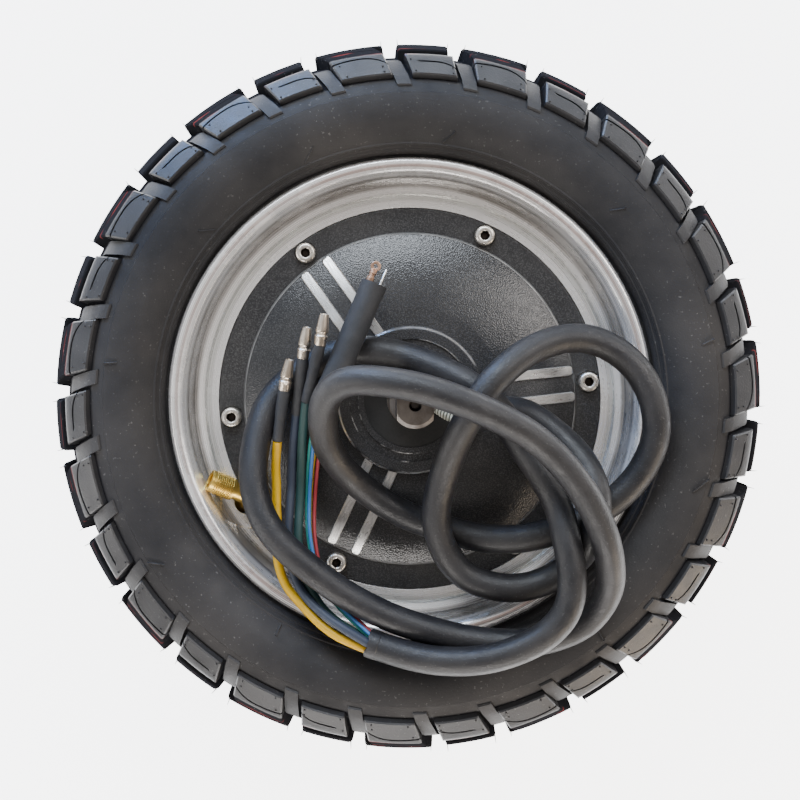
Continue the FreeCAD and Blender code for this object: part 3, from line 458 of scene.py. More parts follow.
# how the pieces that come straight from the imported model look
NODE_LOOKS = {
    "inner_tube": "inner_tube_rubber", "valve_stem": "brass", "valve_core": "brass",
    "rim": "turned_alloy", "front_cover": "pebbled_coat", "rear_cover": "pebbled_coat",
    "rear_cover_screws": "stainless", "axle": "turned_steel", "axle_key": "dark_steel",
    "front_oil_seal": "seal_rubber", "rear_oil_seal": "seal_rubber",
    "front_gasket": "seal_rubber", "rear_gasket": "seal_rubber", "stator_core": "steel_sheets",
    "windings": "winding_wire", "stator_carrier": "turned_alloy", "flux_ring": "dark_steel",
    "magnets": "nickel", "hall_board": "board_green", "hall_sensors": "black_plastic",
}


def dress_nodes():
    """Give every piece that is seen as it was packed its own look."""
    for name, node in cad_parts.items():
        if node.hide_render:
            continue
        if "bearing" in name:
            look = "seal_rubber" if name.endswith("seals") else "bearing_steel"
        else:
            look = NODE_LOOKS[name]
        for slot in node.material_slots:
            slot.material = LOOKS[look]


# ---------------- meshes

class Shell:
    """Points and faces of one piece, gathered from closed parts; millimetres."""

    def __init__(self):
        self.points = []
        self.faces = []
        self.brush = []

    def grid(self, rows, ring=False, brush=None):
        """Skin over rows of points; a ring closes each row on itself. Brush gives the vector
        that is kept at a point, from its row and its place in the row."""
        first = len(self.points)
        wide = len(rows[0])
        for i, row in enumerate(rows):
            self.points += row
            self.brush += [brush(i, j) if brush else (0, 0, 0) for j in range(wide)]
        for i in range(len(rows) - 1):
            for j in range(wide if ring else wide - 1):
                near, far = first + i * wide, first + (i + 1) * wide
                after = (j + 1) % wide
                self.faces.append((near + j, near + after, far + after, far + j))
        return [list(range(first + i * wide, first + (i + 1) * wide)) for i in range(len(rows))]

    def cap(self, loop):
        """Flat face over a loop of points."""
        self.faces.append(tuple(loop))

    def solid_ring(self, rows, brush=None):
        """Rings of points from one closed end to the other."""
        loops = self.grid(rows, True, brush)
        self.cap(loops[0])
        self.cap(loops[-1])

    def turned(self, section, turns, brush=None):
        """Ring about the axle from its closed section of (radius, height)."""
        rows = [[polar(r, 360 * j / turns, z) for j in range(turns)] for r, z in section]
        self.grid(rows + [rows[0]], True, brush)

    def piece(self, name, look, body, sharp=35.0):
        """The gathered mesh as an object of one body; edges over sharp degrees stay sharp."""
        mesh = bpy.data.meshes.new(name)
        mesh.from_pydata([Vector(p) * MM for p in self.points], [], self.faces)
        if any(any(value) for value in self.brush):
            stored = mesh.attributes.new("brush", "FLOAT_VECTOR", "POINT")
            stored.data.foreach_set("vector", [v for value in self.brush for v in value])
        tidy = bmesh.new()
        tidy.from_mesh(mesh)
        bmesh.ops.recalc_face_normals(tidy, faces=tidy.faces)
        tidy.to_mesh(mesh)
        tidy.free()
        mesh.polygons.foreach_set("use_smooth", [True] * len(mesh.polygons))
        mesh.set_sharp_from_angle(angle=math.radians(sharp))
        mesh.materials.append(LOOKS[look])
        made = bpy.data.objects.new(name, mesh)
        bpy.context.scene.collection.objects.link(made)
        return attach(made, body)


def polar(radius, angle, z=0.0):
    """Point at a distance from the axle, an angle in degrees and a height."""
    turn = math.radians(angle)
    return Vector((radius * math.cos(turn), radius * math.sin(turn), z))


def arc(start, via, end, steps):
    """Points of the circle through three points, without the last."""
    (ax, ay), (bx, by), (cx, cy) = start, via, end
    d = 2 * (ax * (by - cy) + bx * (cy - ay) + cx * (ay - by))
    a2, b2, c2 = ax * ax + ay * ay, bx * bx + by * by, cx * cx + cy * cy
    ux = (a2 * (by - cy) + b2 * (cy - ay) + c2 * (ay - by)) / d
    uy = (a2 * (cx - bx) + b2 * (ax - cx) + c2 * (bx - ax)) / d
    radius = math.hypot(ax - ux, ay - uy)
    first, middle, last = (math.atan2(y - uy, x - ux) for x, y in (start, via, end))
    turn = (last - first + math.pi) % (2 * math.pi) - math.pi
    if (middle - first) * turn < 0 and abs(turn) < math.pi:
        turn += -2 * math.pi if turn > 0 else 2 * math.pi
    return [(ux + radius * math.cos(first + turn * i / steps),
             uy + radius * math.sin(first + turn * i / steps)) for i in range(steps)]


class Bar:
    """Places round a straight line, given how far along, how far out and the angle."""

    def __init__(self, start, end):
        self.start = Vector(start)
        along = Vector(end) - self.start
        self.length = along.length
        self.along = along.normalized()
        self.right = self.along.orthogonal().normalized()
        self.up = self.along.cross(self.right)

    def at(self, along, out, angle):
        """One place; the angle is in degrees."""
        turn = math.radians(angle)
        side = self.right * math.cos(turn) + self.up * math.sin(turn)
        return self.start + self.along * along + side * out

    def line(self, steps):
        """Evenly spaced points from end to end."""
        return [self.start + self.along * (self.length * i / steps) for i in range(steps + 1)]

    def rings(self, profile, count):
        """Rings of a turned shape; the profile is (along, out)."""
        return [[self.at(t, r, 360 * j / count) for j in range(count)] for t, r in profile]


# ---------------- cable and leads

# route of the motor cable, from the axle to its stripped end
CABLE = [
    (19, -6.5, 43), (22.5, -6, 41), (27, -4.5, 39), (33, -3, 38), (39.5, -4, 38), (46.5, -8.5, 39),
    (53.5, -14.5, 41.5), (58.5, -20.5, 46), (62, -28.5, 50.5), (62.5, -37, 52),
    (60.5, -46.5, 50.5), (56, -55, 45), (49, -61, 41.5), (39.5, -64.5, 41), (29.5, -64.5, 41.5),
    (18.5, -61, 41), (11.5, -53, 42.5), (8, -43.5, 44.5), (8, -34, 46.5), (11, -22, 51),
    (14.5, -12, 56), (19, -3, 60), (25, 6.5, 60.5), (33, 14, 57), (43.5, 20, 51),
    (55.5, 22.5, 46.5), (66.5, 20, 44.5), (76.5, 12.5, 44.5), (82.5, 2, 45), (84.5, -10.5, 44),
    (80.5, -22.5, 42), (73, -32, 41), (64.5, -38, 40.5), (55.5, -43, 40), (45.5, -46, 40.5),
    (35.5, -48, 40), (23.5, -48, 35.5), (10, -44.5, 33), (-4, -39.5, 33.5), (-18.5, -29.5, 36),
    (-29, -17, 46), (-31, -5.5, 55.5), (-29, 4, 64), (-21.5, 8.5, 70.5), (-10.5, 8, 75),
    (1.5, 6, 76), (13.5, 2, 76), (26.5, -3.5, 74), (40, -11, 70.5), (52, -23, 67),
    (60.5, -36.5, 64), (65.5, -49.5, 60), (67.5, -63, 52), (61, -75.5, 46.5), (48.5, -81.5, 45.5),
    (35, -83.5, 45), (19.5, -82, 44.5), (5.5, -78.5, 45), (-8, -74, 45), (-22.5, -66.5, 45.5),
    (-34, -58, 46), (-44, -49.5, 46), (-50.5, -41.5, 45), (-54, -32.5, 43), (-55, -23.5, 41),
    (-54, -14, 38), (-51.5, -5, 35.5), (-48, 1.5, 33.5), (-42.5, 7, 33), (-36, 12, 33.5),
    (-29.5, 15.5, 34), (-23, 17, 35.5), (-16, 18, 36.5), (-4.5, 16.5, 40.5), (9, 11.5, 45),
    (20.5, 5.5, 49.5), (30, -3, 50), (35.5, -13, 48.5), (43.5, -24, 50.5), (49.5, -35.5, 52.5),
    (51.5, -46.5, 56.5), (53.5, -57.5, 58), (52.5, -69, 58), (45.5, -78, 57), (34.5, -84, 55.5),
    (22, -87.5, 54), (8, -88, 51), (-4, -86, 48), (-14.5, -82.5, 46.5),
]
CABLE_LENGTH, CABLE_DIAMETER = 1.028, 10
EXIT_ROUTE = [(0.5, 0, 27.6), (6.6, 0, 40.1), (11, -4, 44.5), (15.3, -5.6, 44.3)]
EXIT_DIAMETER = 4

PHASE_LEADS = {
    "yellow": [
        (-15.3, -84.9, 46.2), (-21, -82.5, 46.5), (-27.5, -79.5, 45.5), (-33.5, -75, 42.5),
        (-39, -69.5, 39.5), (-43.5, -64.5, 38), (-46, -58.5, 37.5), (-47, -52, 37.5),
        (-46.5, -44.5, 37.5), (-47, -37, 36.5), (-47, -29.5, 35), (-47.5, -21.5, 35),
        (-46.5, -13.5, 38.5)],
    "blue": [
        (-14.7, -82.4, 48.9), (-21.5, -78.5, 48.5), (-28, -74.5, 46.5), (-33.5, -70.5, 43.5),
        (-38.5, -65.5, 40), (-41.5, -59, 38), (-43, -52, 37.5), (-43, -44.5, 37.5),
        (-42.5, -37, 36), (-42, -29.5, 34), (-41.5, -17, 34), (-40, -4.5, 37.5)],
    "green": [
        (-14.3, -82.5, 44.1), (-20.5, -79, 44), (-26.5, -75.5, 42.5), (-31.5, -71, 40.5),
        (-35.5, -65, 38.5), (-38, -58.5, 37.5), (-39.5, -51.5, 37.5), (-39.5, -44, 37),
        (-39, -36, 34.5), (-38.5, -24, 34), (-38, -11.5, 38), (-36.5, 0, 42.5)],
}
# diameters of the phase leads and of their sleeves, in millimetres
LEAD_DIAMETER, LEAD_SLEEVE = 3.2, 4

# where each phase lead's sleeve ends and its bullet connector's tip lies
BULLETS = {
    "yellow": ((-44, 4.5, 41.5), (-42, 14.5, 43)),
    "blue": ((-37.5, 15.5, 43), (-36, 25.5, 44.5)),
    "green": ((-31.5, 20, 47.5), (-30, 30, 48.5)),
}

HALL_BUNDLE = [
    (-14.5, -82.5, 46.5), (-21.5, -76.5, 43), (-26.5, -71.5, 39.4), (-30.5, -67, 38),
    (-33, -61, 37.6), (-34.5, -53.5, 37.1), (-35.5, -46, 35.8), (-35.5, -38, 33.5),
    (-35, -28.5, 33), (-34, -18.5, 36), (-32.5, -9, 41), (-30, 0.5, 46.5),
]
HALL_SLEEVE_TOP = (-13, 40.5, 45)
# how far each sensor wire lies from the bundle's middle, at the bundle's start and at its end
HALL_PLACES = {
    "blue": ((2.6, 1.6), (-0.8, 2)),
    "red": ((3.35, 0.1), (2, 0.9)),
    "black": ((2.9, -2.1), (1.3, -1.8)),
    "green": ((1.5, 0.45), (-2.2, 0.3)),
    "yellow": ((2, -0.9), (-0.1, -0.1)),
}
# the two directions across the bundle at each of its ends
ACROSS_START = (Vector((0.316, 0.949, 0)), Vector((-0.127, 0.042, 0.991)))
ACROSS_END = (Vector((0.916, -0.401, 0)), Vector((0.009, 0.021, 1)))
HALL_DIAMETER, HALL_SLEEVE = 1.3, 9


def wire(name, points, diameter, look):
    """Round wire along a smooth line through the neighbourhood of its route's points."""
    curve = bpy.data.curves.new(name, "CURVE")
    curve.dimensions = "3D"
    spline = curve.splines.new("NURBS")
    spline.points.add(len(points) - 1)
    for point, place in zip(spline.points, points):
        point.co = (*(Vector(place) * MM), 1)
    spline.order_u = 3
    spline.use_endpoint_u = True
    spline.resolution_u = 10
    curve.bevel_depth = diameter / 2 * MM
    curve.bevel_resolution = 7
    curve.use_fill_caps = True
    curve.materials.append(LOOKS[look])
    made = bpy.data.objects.new(name, curve)
    bpy.context.scene.collection.objects.link(made)
    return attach(made, STILL)


def line_of(cord):
    """Points down the middle of a cord, in millimetres."""
    bare = bpy.data.objects.new("bare", cord.data.copy())
    bare.data.bevel_depth = 0
    mesh = bpy.data.meshes.new_from_object(bare)
    points = [vertex.co / MM for vertex in mesh.vertices]
    bpy.data.meshes.remove(mesh)
    bpy.data.curves.remove(bare.data)
    return points


def wrinkle(place, fineness, depth):
    """Unevenness at a place, up to the depth either way."""
    return depth * noise.noise(Vector(place) * fineness)


def tube_rings(line, out, count=24):
    """Rings round a line; out gives the distance for how far along (0 to 1) and the angle."""
    rings = []
    side = (line[1] - line[0]).orthogonal().normalized()
    for i, place in enumerate(line):
        ahead = (line[min(i + 1, len(line) - 1)] - line[max(i - 1, 0)]).normalized()
        side = (side - ahead * side.dot(ahead)).normalized()
        up = ahead.cross(side)
        share = i / (len(line) - 1)
        ring = []
        for j in range(count):
            turn = 2 * math.pi * j / count
            reach = out(share, turn)
            ring.append(place + (side * math.cos(turn) + up * math.sin(turn)) * reach)
        rings.append(ring)
    return rings


def even(line, step):
    """The same line with points a step apart."""
    made = [line[0]]
    left = step
    for start, end in zip(line, line[1:]):
        run = (end - start).length
        while run > left:
            start = start.lerp(end, left / run)
            made.append(start)
            run = (end - start).length
            left = step
        left -= run
    return made + [line[-1]]


def make_exit_sleeve():
    """Braided sleeving that brings the wires out of the axle, and the shrink after it."""
    guide = wire("exit_guide", EXIT_ROUTE, EXIT_DIAMETER, "braid")
    step, count, pitch = 0.2, 48, 0.95
    line = even(line_of(guide), step)
    bpy.data.curves.remove(guide.data)

    def turns(i, j):
        """How many threads have been crossed at a ring and a place round it."""
        return i * step / pitch + abs(j / count - 0.5) * 2

    def out(share, turn):
        phase = turns(share * (len(line) - 1), turn / (2 * math.pi) * count)
        return EXIT_DIAMETER / 2 - 0.12 + 0.3 * abs(math.sin(math.pi * phase))

    shell = Shell()
    shell.solid_ring(tube_rings(line, out, count),
                     lambda i, j: (turns(i, j) * math.pi / 10, 0.1, 1))
    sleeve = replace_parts(shell.piece("exit_braid", "braid", STILL), "exit_sleeve")

    bar = Bar(EXIT_ROUTE[-1], CABLE[0])
    wide, narrow = CABLE_DIAMETER / 2 + 0.15, EXIT_DIAMETER / 2 + 0.35
    profile = [(-2.4, narrow - 0.3), (-2.4, narrow), (-1.2, narrow + 0.1), (0, narrow + 0.5),
               (1.2, narrow + 1.6), (2.4, wide - 0.8), (3.4, wide - 0.1), (4.6, wide),
               (6.4, wide - 0.02), (6.8, wide - 0.3)]
    shell = Shell()
    shell.solid_ring([[bar.at(t, r + wrinkle((t, j, 0), 0.6, 0.12), 360 * j / 32)
                       for j in range(32)] for t, r in profile])
    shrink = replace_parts(shell.piece("exit_taper", "shrink_tube", STILL), "exit_shrink")
    return [sleeve, shrink]


def make_cable():
    """Motor cable with its sleeve at the axle and the jacket's ragged cut end."""
    carried = make_exit_sleeve()
    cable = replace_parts(wire("cable_jacket", CABLE, CABLE_DIAMETER, "cable_jacket"), "motor_cable")
    end = Bar(CABLE[-1], Vector(CABLE[-1]) * 2 - Vector(CABLE[-2]))
    shell = Shell()
    wide = CABLE_DIAMETER / 2 + 0.12
    rows = []
    for t, r, rag in ((-3, wide - 0.2, 0), (-2.8, wide, 0), (-0.2, wide, 0), (0.9, wide - 0.1, 1.1),
                      (0.9, wide - 1.5, 1.0), (-0.3, wide - 1.7, 0.2)):
        rows.append([end.at(t + rag * noise.noise(Vector((j * 0.45, 1.7, 0))),
                            r + wrinkle((t, j * 0.5, 3), 0.8, 0.15), 10 * j) for j in range(36)])
    shell.solid_ring(rows)
    cut = shell.piece("jacket_end", "cable_jacket", STILL)


def make_shrink_sleeve(colour, start, end):
    """Heat-shrink in two layers over the joint of a lead and its bullet."""
    thin, thick = LEAD_SLEEVE / 2 - 0.12, LEAD_SLEEVE / 2 + 0.05
    seed = len(colour) * 3.1

    def out(share, turn):
        step = min(max((share - 0.44) / 0.05, 0), 1)
        fold = noise.noise(Vector((share * 14, math.cos(turn) * 1.3, math.sin(turn) * 1.3 + seed)))
        tight = 0.22 * max(0, (share - 0.9) / 0.1) + 0.14 * max(0, (0.05 - share) / 0.05)
        return thin + (thick - thin) * step + 0.13 * fold - tight

    shell = Shell()
    shell.solid_ring(tube_rings(Bar(start, end).line(40), out, 28))
    piece = shell.piece(f"shrink_{colour}", "shrink_tube", STILL)
    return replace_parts(piece, f"lead_sleeve_{colour}")


def make_bullet(colour, start, tip):
    """Plated bullet: crimp barrel, collar, and a slit nose that tapers to its open tip."""
    bar = Bar(start, tip)
    length = bar.length
    profile = [(-0.6, 1.5), (-0.6, 1.9), (0, 2.02), (1.5, 2.06), (2.1, 2.1), (2.35, 2.24),
               (2.6, 2.24), (2.85, 2.0), (3.3, 1.84), (3.7, 1.86), (4.1, 2.12), (4.7, 2.16),
               (6.4, 1.98), (8.2, 1.74), (length - 0.3, 1.5), (length, 1.42), (length, 1.16),
               (length - 0.3, 1.02), (length - 4.5, 0.98)]
    shell = Shell()
    shell.solid_ring(bar.rings(profile, 36))
    for angle in (25, 145, 265):
        lines = [bar.at(t, r - 0.1, angle) for t, r in profile[10:15]]
        shell.solid_ring(tube_rings(even(lines, 0.6), lambda share, turn: 0.17, 6))
    piece = shell.piece(f"bullet_plug_{colour}", "nickel", STILL, 30)
    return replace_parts(piece, f"bullet_{colour}")


def make_phase_leads():
    """Three motor leads, each with its sleeve and its bullet."""
    for colour, points in PHASE_LEADS.items():
        sleeve_end, tip = BULLETS[colour]
        sleeve = make_shrink_sleeve(colour, points[-1], sleeve_end)
        bullet = make_bullet(colour, sleeve_end, tip)
        lead = wire(f"phase_lead_{colour}", points, LEAD_DIAMETER, f"lead_{colour}")
        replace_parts(lead, f"lead_{colour}")


def strand(bundle, start, end):
    """One wire of a bundle, whose place across it changes evenly from start to end."""
    first = ACROSS_START[0] * start[0] + ACROSS_START[1] * start[1]
    last = ACROSS_END[0] * end[0] + ACROSS_END[1] * end[1]
    steps = len(bundle) - 1
    return [Vector(point) + first + (last - first) * (i / steps)
            for i, point in enumerate(bundle)]


def make_hall_sleeve(bar):
    """Wide shrink sleeve over the sensor wires' ends, hollow at its mouth."""
    line = bar.line(60)

    def out(share, turn):
        fold = noise.noise(Vector((share * 9, math.cos(turn) * 1.1, math.sin(turn) * 1.1)))
        fine = noise.noise(Vector((share * 40, math.cos(turn) * 4, math.sin(turn) * 4)))
        tight = 0.5 * max(0, (0.06 - share) / 0.06)
        return HALL_SLEEVE / 2 - 0.1 + 0.22 * fold + 0.05 * fine - tight

    shell = Shell()
    rings = tube_rings(line, out, 40)
    for depth, share in ((0.2, 0.9), (2.2, 0.82), (4.0, 0.74)):
        end = line[-1] - bar.along * depth
        rings.append([end + (place - line[-1]) * share for place in rings[60]])
    shell.solid_ring(rings)
    sleeve = shell.piece("hall_shrink", "shrink_tube", STILL)
    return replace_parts(sleeve, "hall_sleeve")


def make_hall_terminals(bar):
    """A crimped ring and a pin, side by side in the sleeve's mouth."""
    mouth, up = Vector(HALL_SLEEVE_TOP), Vector((0, 0, 1))
    side = bar.along.cross(up)
    apart, crimp_length, tab, hole, eye = 1.9, 4.4, 0.7, 0.75, 1.8
    foot = mouth - side * apart
    shell = Shell()
    crimp = Bar(foot, foot + bar.along * crimp_length)
    profile = [(-3.5, 0.7), (-3.5, 1.0), (-0.2, 1.0), (0, 1.3), (1.4, 1.35), (1.7, 1.05),
               (2.5, 1.05), (2.8, 1.3), (3.8, 1.25), (4.2, 0.8), (4.4, 0.4)]
    shell.solid_ring(crimp.rings(profile, 20))
    ring = foot + bar.along * (crimp_length + 1.1)
    loop = [(hole, -tab / 2), (hole, tab / 2), (hole + 0.12, tab / 2 + 0.05),
            (eye - 0.15, tab / 2), (eye, tab / 2 - 0.15), (eye, -tab / 2 + 0.15),
            (eye - 0.15, -tab / 2), (hole, -tab / 2)]
    shell.grid([[ring + polar(r, 360 * j / 28) + up * z for j in range(28)] for r, z in loop], True)
    ring_terminal = shell.piece("hall_ring_terminal", "copper", STILL)
    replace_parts(ring_terminal, "hall_terminals")
    pin_foot = mouth + side * apart
    pin = Bar(pin_foot, pin_foot + bar.along * 6)
    shell = Shell()
    shell.solid_ring(pin.rings([(-3.5, 0.3), (-3.5, 0.6), (0.3, 0.6), (0.7, 0.48), (5.6, 0.46),
                                (5.9, 0.3), (6.0, 0.1)], 14))
    pin_terminal = shell.piece("hall_pin_terminal", "tinned_wire", STILL)
    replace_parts(pin_terminal, "hall_terminals")
    return ring_terminal, pin_terminal


def make_hall_wires():
    """Five thin wires side by side, which end in one sleeve."""
    bar = Bar(HALL_BUNDLE[-1], HALL_SLEEVE_TOP)
    carried = (make_hall_sleeve(bar), *make_hall_terminals(bar))
    for colour, (start, end) in HALL_PLACES.items():
        points = strand(HALL_BUNDLE, start, end)
        thread = wire(f"sensor_wire_{colour}", points, HALL_DIAMETER, f"hall_{colour}")
        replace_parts(thread, f"hall_wire_{colour}")


# ---------------- tyre

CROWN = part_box("tyre")[1].x / MM
LIP = 85
# the ridge between tread and sidewall and the lugs' foot, measured along the section
RIDGE, LUG_FOOT = 35.3, 44.4
# degrees from lug to lug, of the first lug, and from a lug to its crown block
PITCH, FIRST_LUG, CROWN_SHIFT = 12.0, 3.2, 0.9
# degrees by which a lug leans for each millimetre along the section
SLANT_FACE, SLANT_TREAD = -0.14, -0.11
BLOCK_RADIUS = 110


def tyre_section():
    """Half of the tyre's outer section, from the crown to the bead, as (radius, height)."""
    points = [(CROWN, 0)]
    points += arc((CROWN, 6), (CROWN - 2.1, 20.5), (CROWN - 6.9, 34), 24)
    points += [(CROWN - 6.9, 34)]
    points += arc((CROWN - 14, 38.2), (LIP + 13, 39.6), (LIP + 1, 32), 30)
    return points + [(LIP + 1, 32)]


SECTION = tyre_section()
# how far along the section from the crown each of its points lies
RUN = [0.0]
for (r0, z0), (r1, z1) in zip(SECTION, SECTION[1:]):
    RUN.append(RUN[-1] + math.hypot(r1 - r0, z1 - z0))


def lookup(table, value):
    """Straight interpolation in a short table of (place, result)."""
    if value <= table[0][0]:
        return table[0][1]
    for (x0, y0), (x1, y1) in zip(table, table[1:]):
        if value <= x1:
            return y0 + (y1 - y0) * (value - x0) / (x1 - x0)
    return table[-1][1]


RADII = list(zip(RUN, [r for r, _ in SECTION]))
HEIGHTS = list(zip(RUN, [z for _, z in SECTION]))

# how far the ground of the tread and the sidewall lie under the outer section
GROUND = [(0, 4.4), (20, 4.6), (34, 5.2), (43, 3.2), (46, 2.0), (50.4, 1.1), (50.7, 0.7),
          (60, 0), (68.6, 0), (69.0, -0.3), (69.5, -0.3), (69.9, 0.1), (71.2, 0.1), (71.5, -0.15),
          (72.0, -0.15), (72.3, 0.2), (80, 0.2)]


def on_tyre(along, depth, angle):
    """Point at a way along the section from the crown, a depth under it and an angle."""
    side = -1 if along < 0 else 1
    along = abs(along)
    step = 2.5
    r, z = lookup(RADII, along), lookup(HEIGHTS, along)
    back, on = max(along - step, -step), min(along + step, RUN[-1])
    dr = lookup(RADII, on) - lookup(RADII, abs(back))
    dz = lookup(HEIGHTS, on) - lookup(HEIGHTS, abs(back)) * (-1 if back < 0 else 1)
    size = math.hypot(dr, dz)
    return polar(r - depth * dz / size, angle, side * (z + depth * dr / size))


def carcass(shell):
    """The tyre without its blocks, as one closed ring; its tread is marked in the brush's Y."""
    stops = sorted({round(i * 1.25, 3) for i in range(59)} | {s for s, _ in GROUND if s < 74})
    outer = [(s, lookup(GROUND, s)) for s in stops]
    section = [on_tyre(s, d, 0) for s, d in outer]
    section = [(p.x, p.z) for p in section]
    section += [(LIP + 0.8, 28.4), (82, 26.8), (81.8, 19), (84.8, 19)]
    inner = arc((LIP + 3.4, 29), (LIP + 14, 35.5), (CROWN - 14, 32.5), 10)
    inner += arc((CROWN - 14, 32.5), (CROWN - 10, 20), (CROWN - 8.5, 6), 10) + [(CROWN - 8.5, 6)]
    half = section + inner
    whole = half + [(r, -z) for r, z in reversed(half) if abs(z) > 0.01]
    shell.turned(whole, 288, lambda i, j: (0, whole[i % len(whole)][0] > LIP + 26, 0))


def block(shell, side, middle, half_width, rows, slant=True, edge=0.5, draft=0.35, shine=1.0):
    """One tread block. A row is (along, depth), each a number or a function of the place
    across from -1 to 1; a depth of None is the sunk foot. Shine is that of its outer face."""
    inset = math.degrees(edge / BLOCK_RADIUS) / half_width
    inner = [-0.8 + 0.2 * i for i in range(9)]
    columns = [(-1, None), (-1, edge), (-1 + inset, 0)] + [(u, 0) for u in inner]
    columns += [(1 - inset, 0), (1, edge), (1, None)]
    grid = []
    for along, depth in rows:
        line = []
        for u, lower in columns:
            s = along(u) if callable(along) else along
            if depth is None or lower is None:
                under = lookup(GROUND, s) + 1.3
            else:
                under = max(depth(u) if callable(depth) else depth, lower)
            lean = SLANT_FACE if s > RIDGE else SLANT_TREAD
            angle = middle + u * half_width + (lean * (s - RIDGE) if slant else 0)
            if lower is None:
                angle += draft / 2 * (1 if u > 0 else -1)
            line.append(on_tyre(side * s, under, angle))
        grid.append(line)

    def finish(i, j):
        """The outer face's shine in X, or 1 in Y on the tread."""
        along, depth = rows[i]
        along = along(0) if callable(along) else along
        if along <= RIDGE - 0.2:
            return 0, 1, 0
        return 0 if depth is None else shine, 0, 0

    loops = shell.grid(grid, False, finish)
    rim = loops[0] + [row[-1] for row in loops[1:-1]] + loops[-1][::-1]
    shell.cap(rim + [row[0] for row in loops[-2:0:-1]])


def sipe(middle, deep):
    """Rows of a narrow cut whose middle is a function of the place across."""
    def at(offset):
        return lambda u: middle(u) + offset
    return [(at(0.32), 0), (at(0.24), deep), (at(-0.24), deep), (at(-0.32), 0)]


def lug(shell, side, middle, wide):
    """Shoulder lug: a slanted face from the ridge down to its foot, cut by one curved sipe.
    Wide lugs run on over the tread; narrow ones stop at a groove before the crown's blocks."""
    corner = RIDGE if wide else RIDGE + 1.2
    face = LUG_FOOT - corner
    if wide:
        cut = sipe(lambda u: corner + face * (0.14 + 0.08 * u * u + 0.28 * max(-u, 0) ** 3), 1.3)
    else:
        cut = sipe(lambda u: corner + face * (0.3 + 0.26 * max(-u, 0) ** 3),
                   lambda u: 1.3 * min(max((0.5 - u) / 0.15, 0), 1))
    foot = [(LUG_FOOT + 0.7, None), (LUG_FOOT, 0.5), (LUG_FOOT - 0.5, 0)]
    ridge = [(corner + 0.4, 0), (corner, 0.1), (corner - 0.4, 0.1)]
    if wide:
        tread = [(32.6, 0), *sipe(lambda u: 28.5 - 1.2 * u, 1.4), (24, 0), (20.5, 0), (20, 0.5),
                 (19.5, None)]
    else:
        tread = [(35.2, 0.5), (34.2, 1.2), (33.6, 1.8), (33, None)]
    block(shell, side, middle, 4.5 if wide else 3.95, foot + cut + ridge + tread)


def tie(shell, side, middle):
    """Low bridge between two lugs that runs out on the sidewall."""
    rows = [(48.9, None), (48.4, 1.2), (47.8, 0.75), (44.5, 1.05), (40.5, 2.4), (36, 3.1), (32, 3.4),
            (29, 3.8), (28.5, 4.2), (28, None)]
    block(shell, side, middle, 1.28, rows, edge=0.3, draft=0.2, shine=0.3)


def crown_block(shell, side, middle, wide):
    """Block beside the tyre's middle, cut by one straight sipe."""
    start = 18.0 if wide else 30.6
    rows = [(start + 0.9, None), (start + 0.4, 0.5), (start, 0), (15, 0),
            *sipe(lambda u: 10.5 + 2.4 * u, 1.5), (6, 0), (2.7, 0), (2.2, 0.5), (1.8, None)]
    block(shell, side, middle, 5.5 if wide else 4.1, rows, slant=False, draft=0.6)


def hair(shell, foot, out, length, thick=0.17):
    """Rubber whisker left by a vent of the mould."""
    lean = Vector((random.uniform(-1, 1), random.uniform(-1, 1), random.uniform(-1, 1))) * 0.35
    bar = Bar(foot - out * 0.4, foot + (out + lean).normalized() * length)
    shell.solid_ring(bar.rings([(0, thick * 1.6), (0.5, thick), (bar.length, thick * 0.4)], 5))


def make_tyre():
    """Tyre with two rows of lugs, ties and crown blocks, wide and narrow by turns."""
    shell = Shell()
    carcass(shell)
    for side in (1, -1):
        for i in range(30):
            middle = FIRST_LUG + i * PITCH
            wide = i % 2 == 0
            lug(shell, side, middle, wide)
            tie(shell, side, middle + PITCH / 2)
            crown_block(shell, side, middle + CROWN_SHIFT, wide)
    tyre = shell.piece("tyre_tread", "tyre_rubber", TURNING, 28)
    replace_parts(tyre, "tyre")
    make_vent_marks()


def pip(shell, side, along, angle):
    """Low round pip on a lug's face."""
    foot = on_tyre(side * along, 0.1, angle)
    bar = Bar(foot, on_tyre(side * along, -0.35, angle))
    shell.solid_ring(bar.rings([(0, 0.34), (0.3, 0.34), (bar.length, 0.2)], 8))


def vent_rib(shell, side, angle):
    """Thin rib that climbs the sidewall at a slant, with a knob at its outer end."""
    turn = random.uniform(-4, 4)
    start = random.choice((50.8, 58.5, 64.0))
    line = [on_tyre(side * (start + 0.8 * k), -0.05, angle + turn * k / 6) for k in range(6)]
    shell.solid_ring(tube_rings(line, lambda share, turn: 0.3, 8))
    line = [on_tyre(side * (start - 0.3), depth, angle) for depth in (0.4, -0.25, -0.5)]
    shell.solid_ring(tube_rings(line, lambda share, turn: 0.45 - 0.2 * share, 10))


def make_vent_marks():
    """Whiskers on the tread, pips on the lugs, and the thin ribs left by the mould's vents."""
    shell = Shell()
    ribs = 11
    for side in (1, -1):
        for i in range(30):
            middle = FIRST_LUG + i * PITCH
            half = 4.0 if i % 2 else 5.3
            for shift in (-half, half):
                angle = middle + CROWN_SHIFT + shift
                hair(shell, on_tyre(side * 22, 0.3, angle), polar(1, angle, side * 0.4),
                     random.uniform(1.6, 2.6))
            for along, shift in ((LUG_FOOT - 1.3, -3.3), (LUG_FOOT - 1.3, 3.2),
                                 (RIDGE + 5.5, -3.4), (RIDGE + 2.8, 3.4)):
                pip(shell, side, along, middle + SLANT_FACE * (along - RIDGE) + shift)
        for i in range(ribs):
            vent_rib(shell, side, 14 + i * 360 / ribs + random.uniform(-5, 5))
    marks = shell.piece("tyre_vent_marks", "tyre_rubber", TURNING, 50)


# ---------------- front cover and valve

SCREW_ANGLE = 5.6
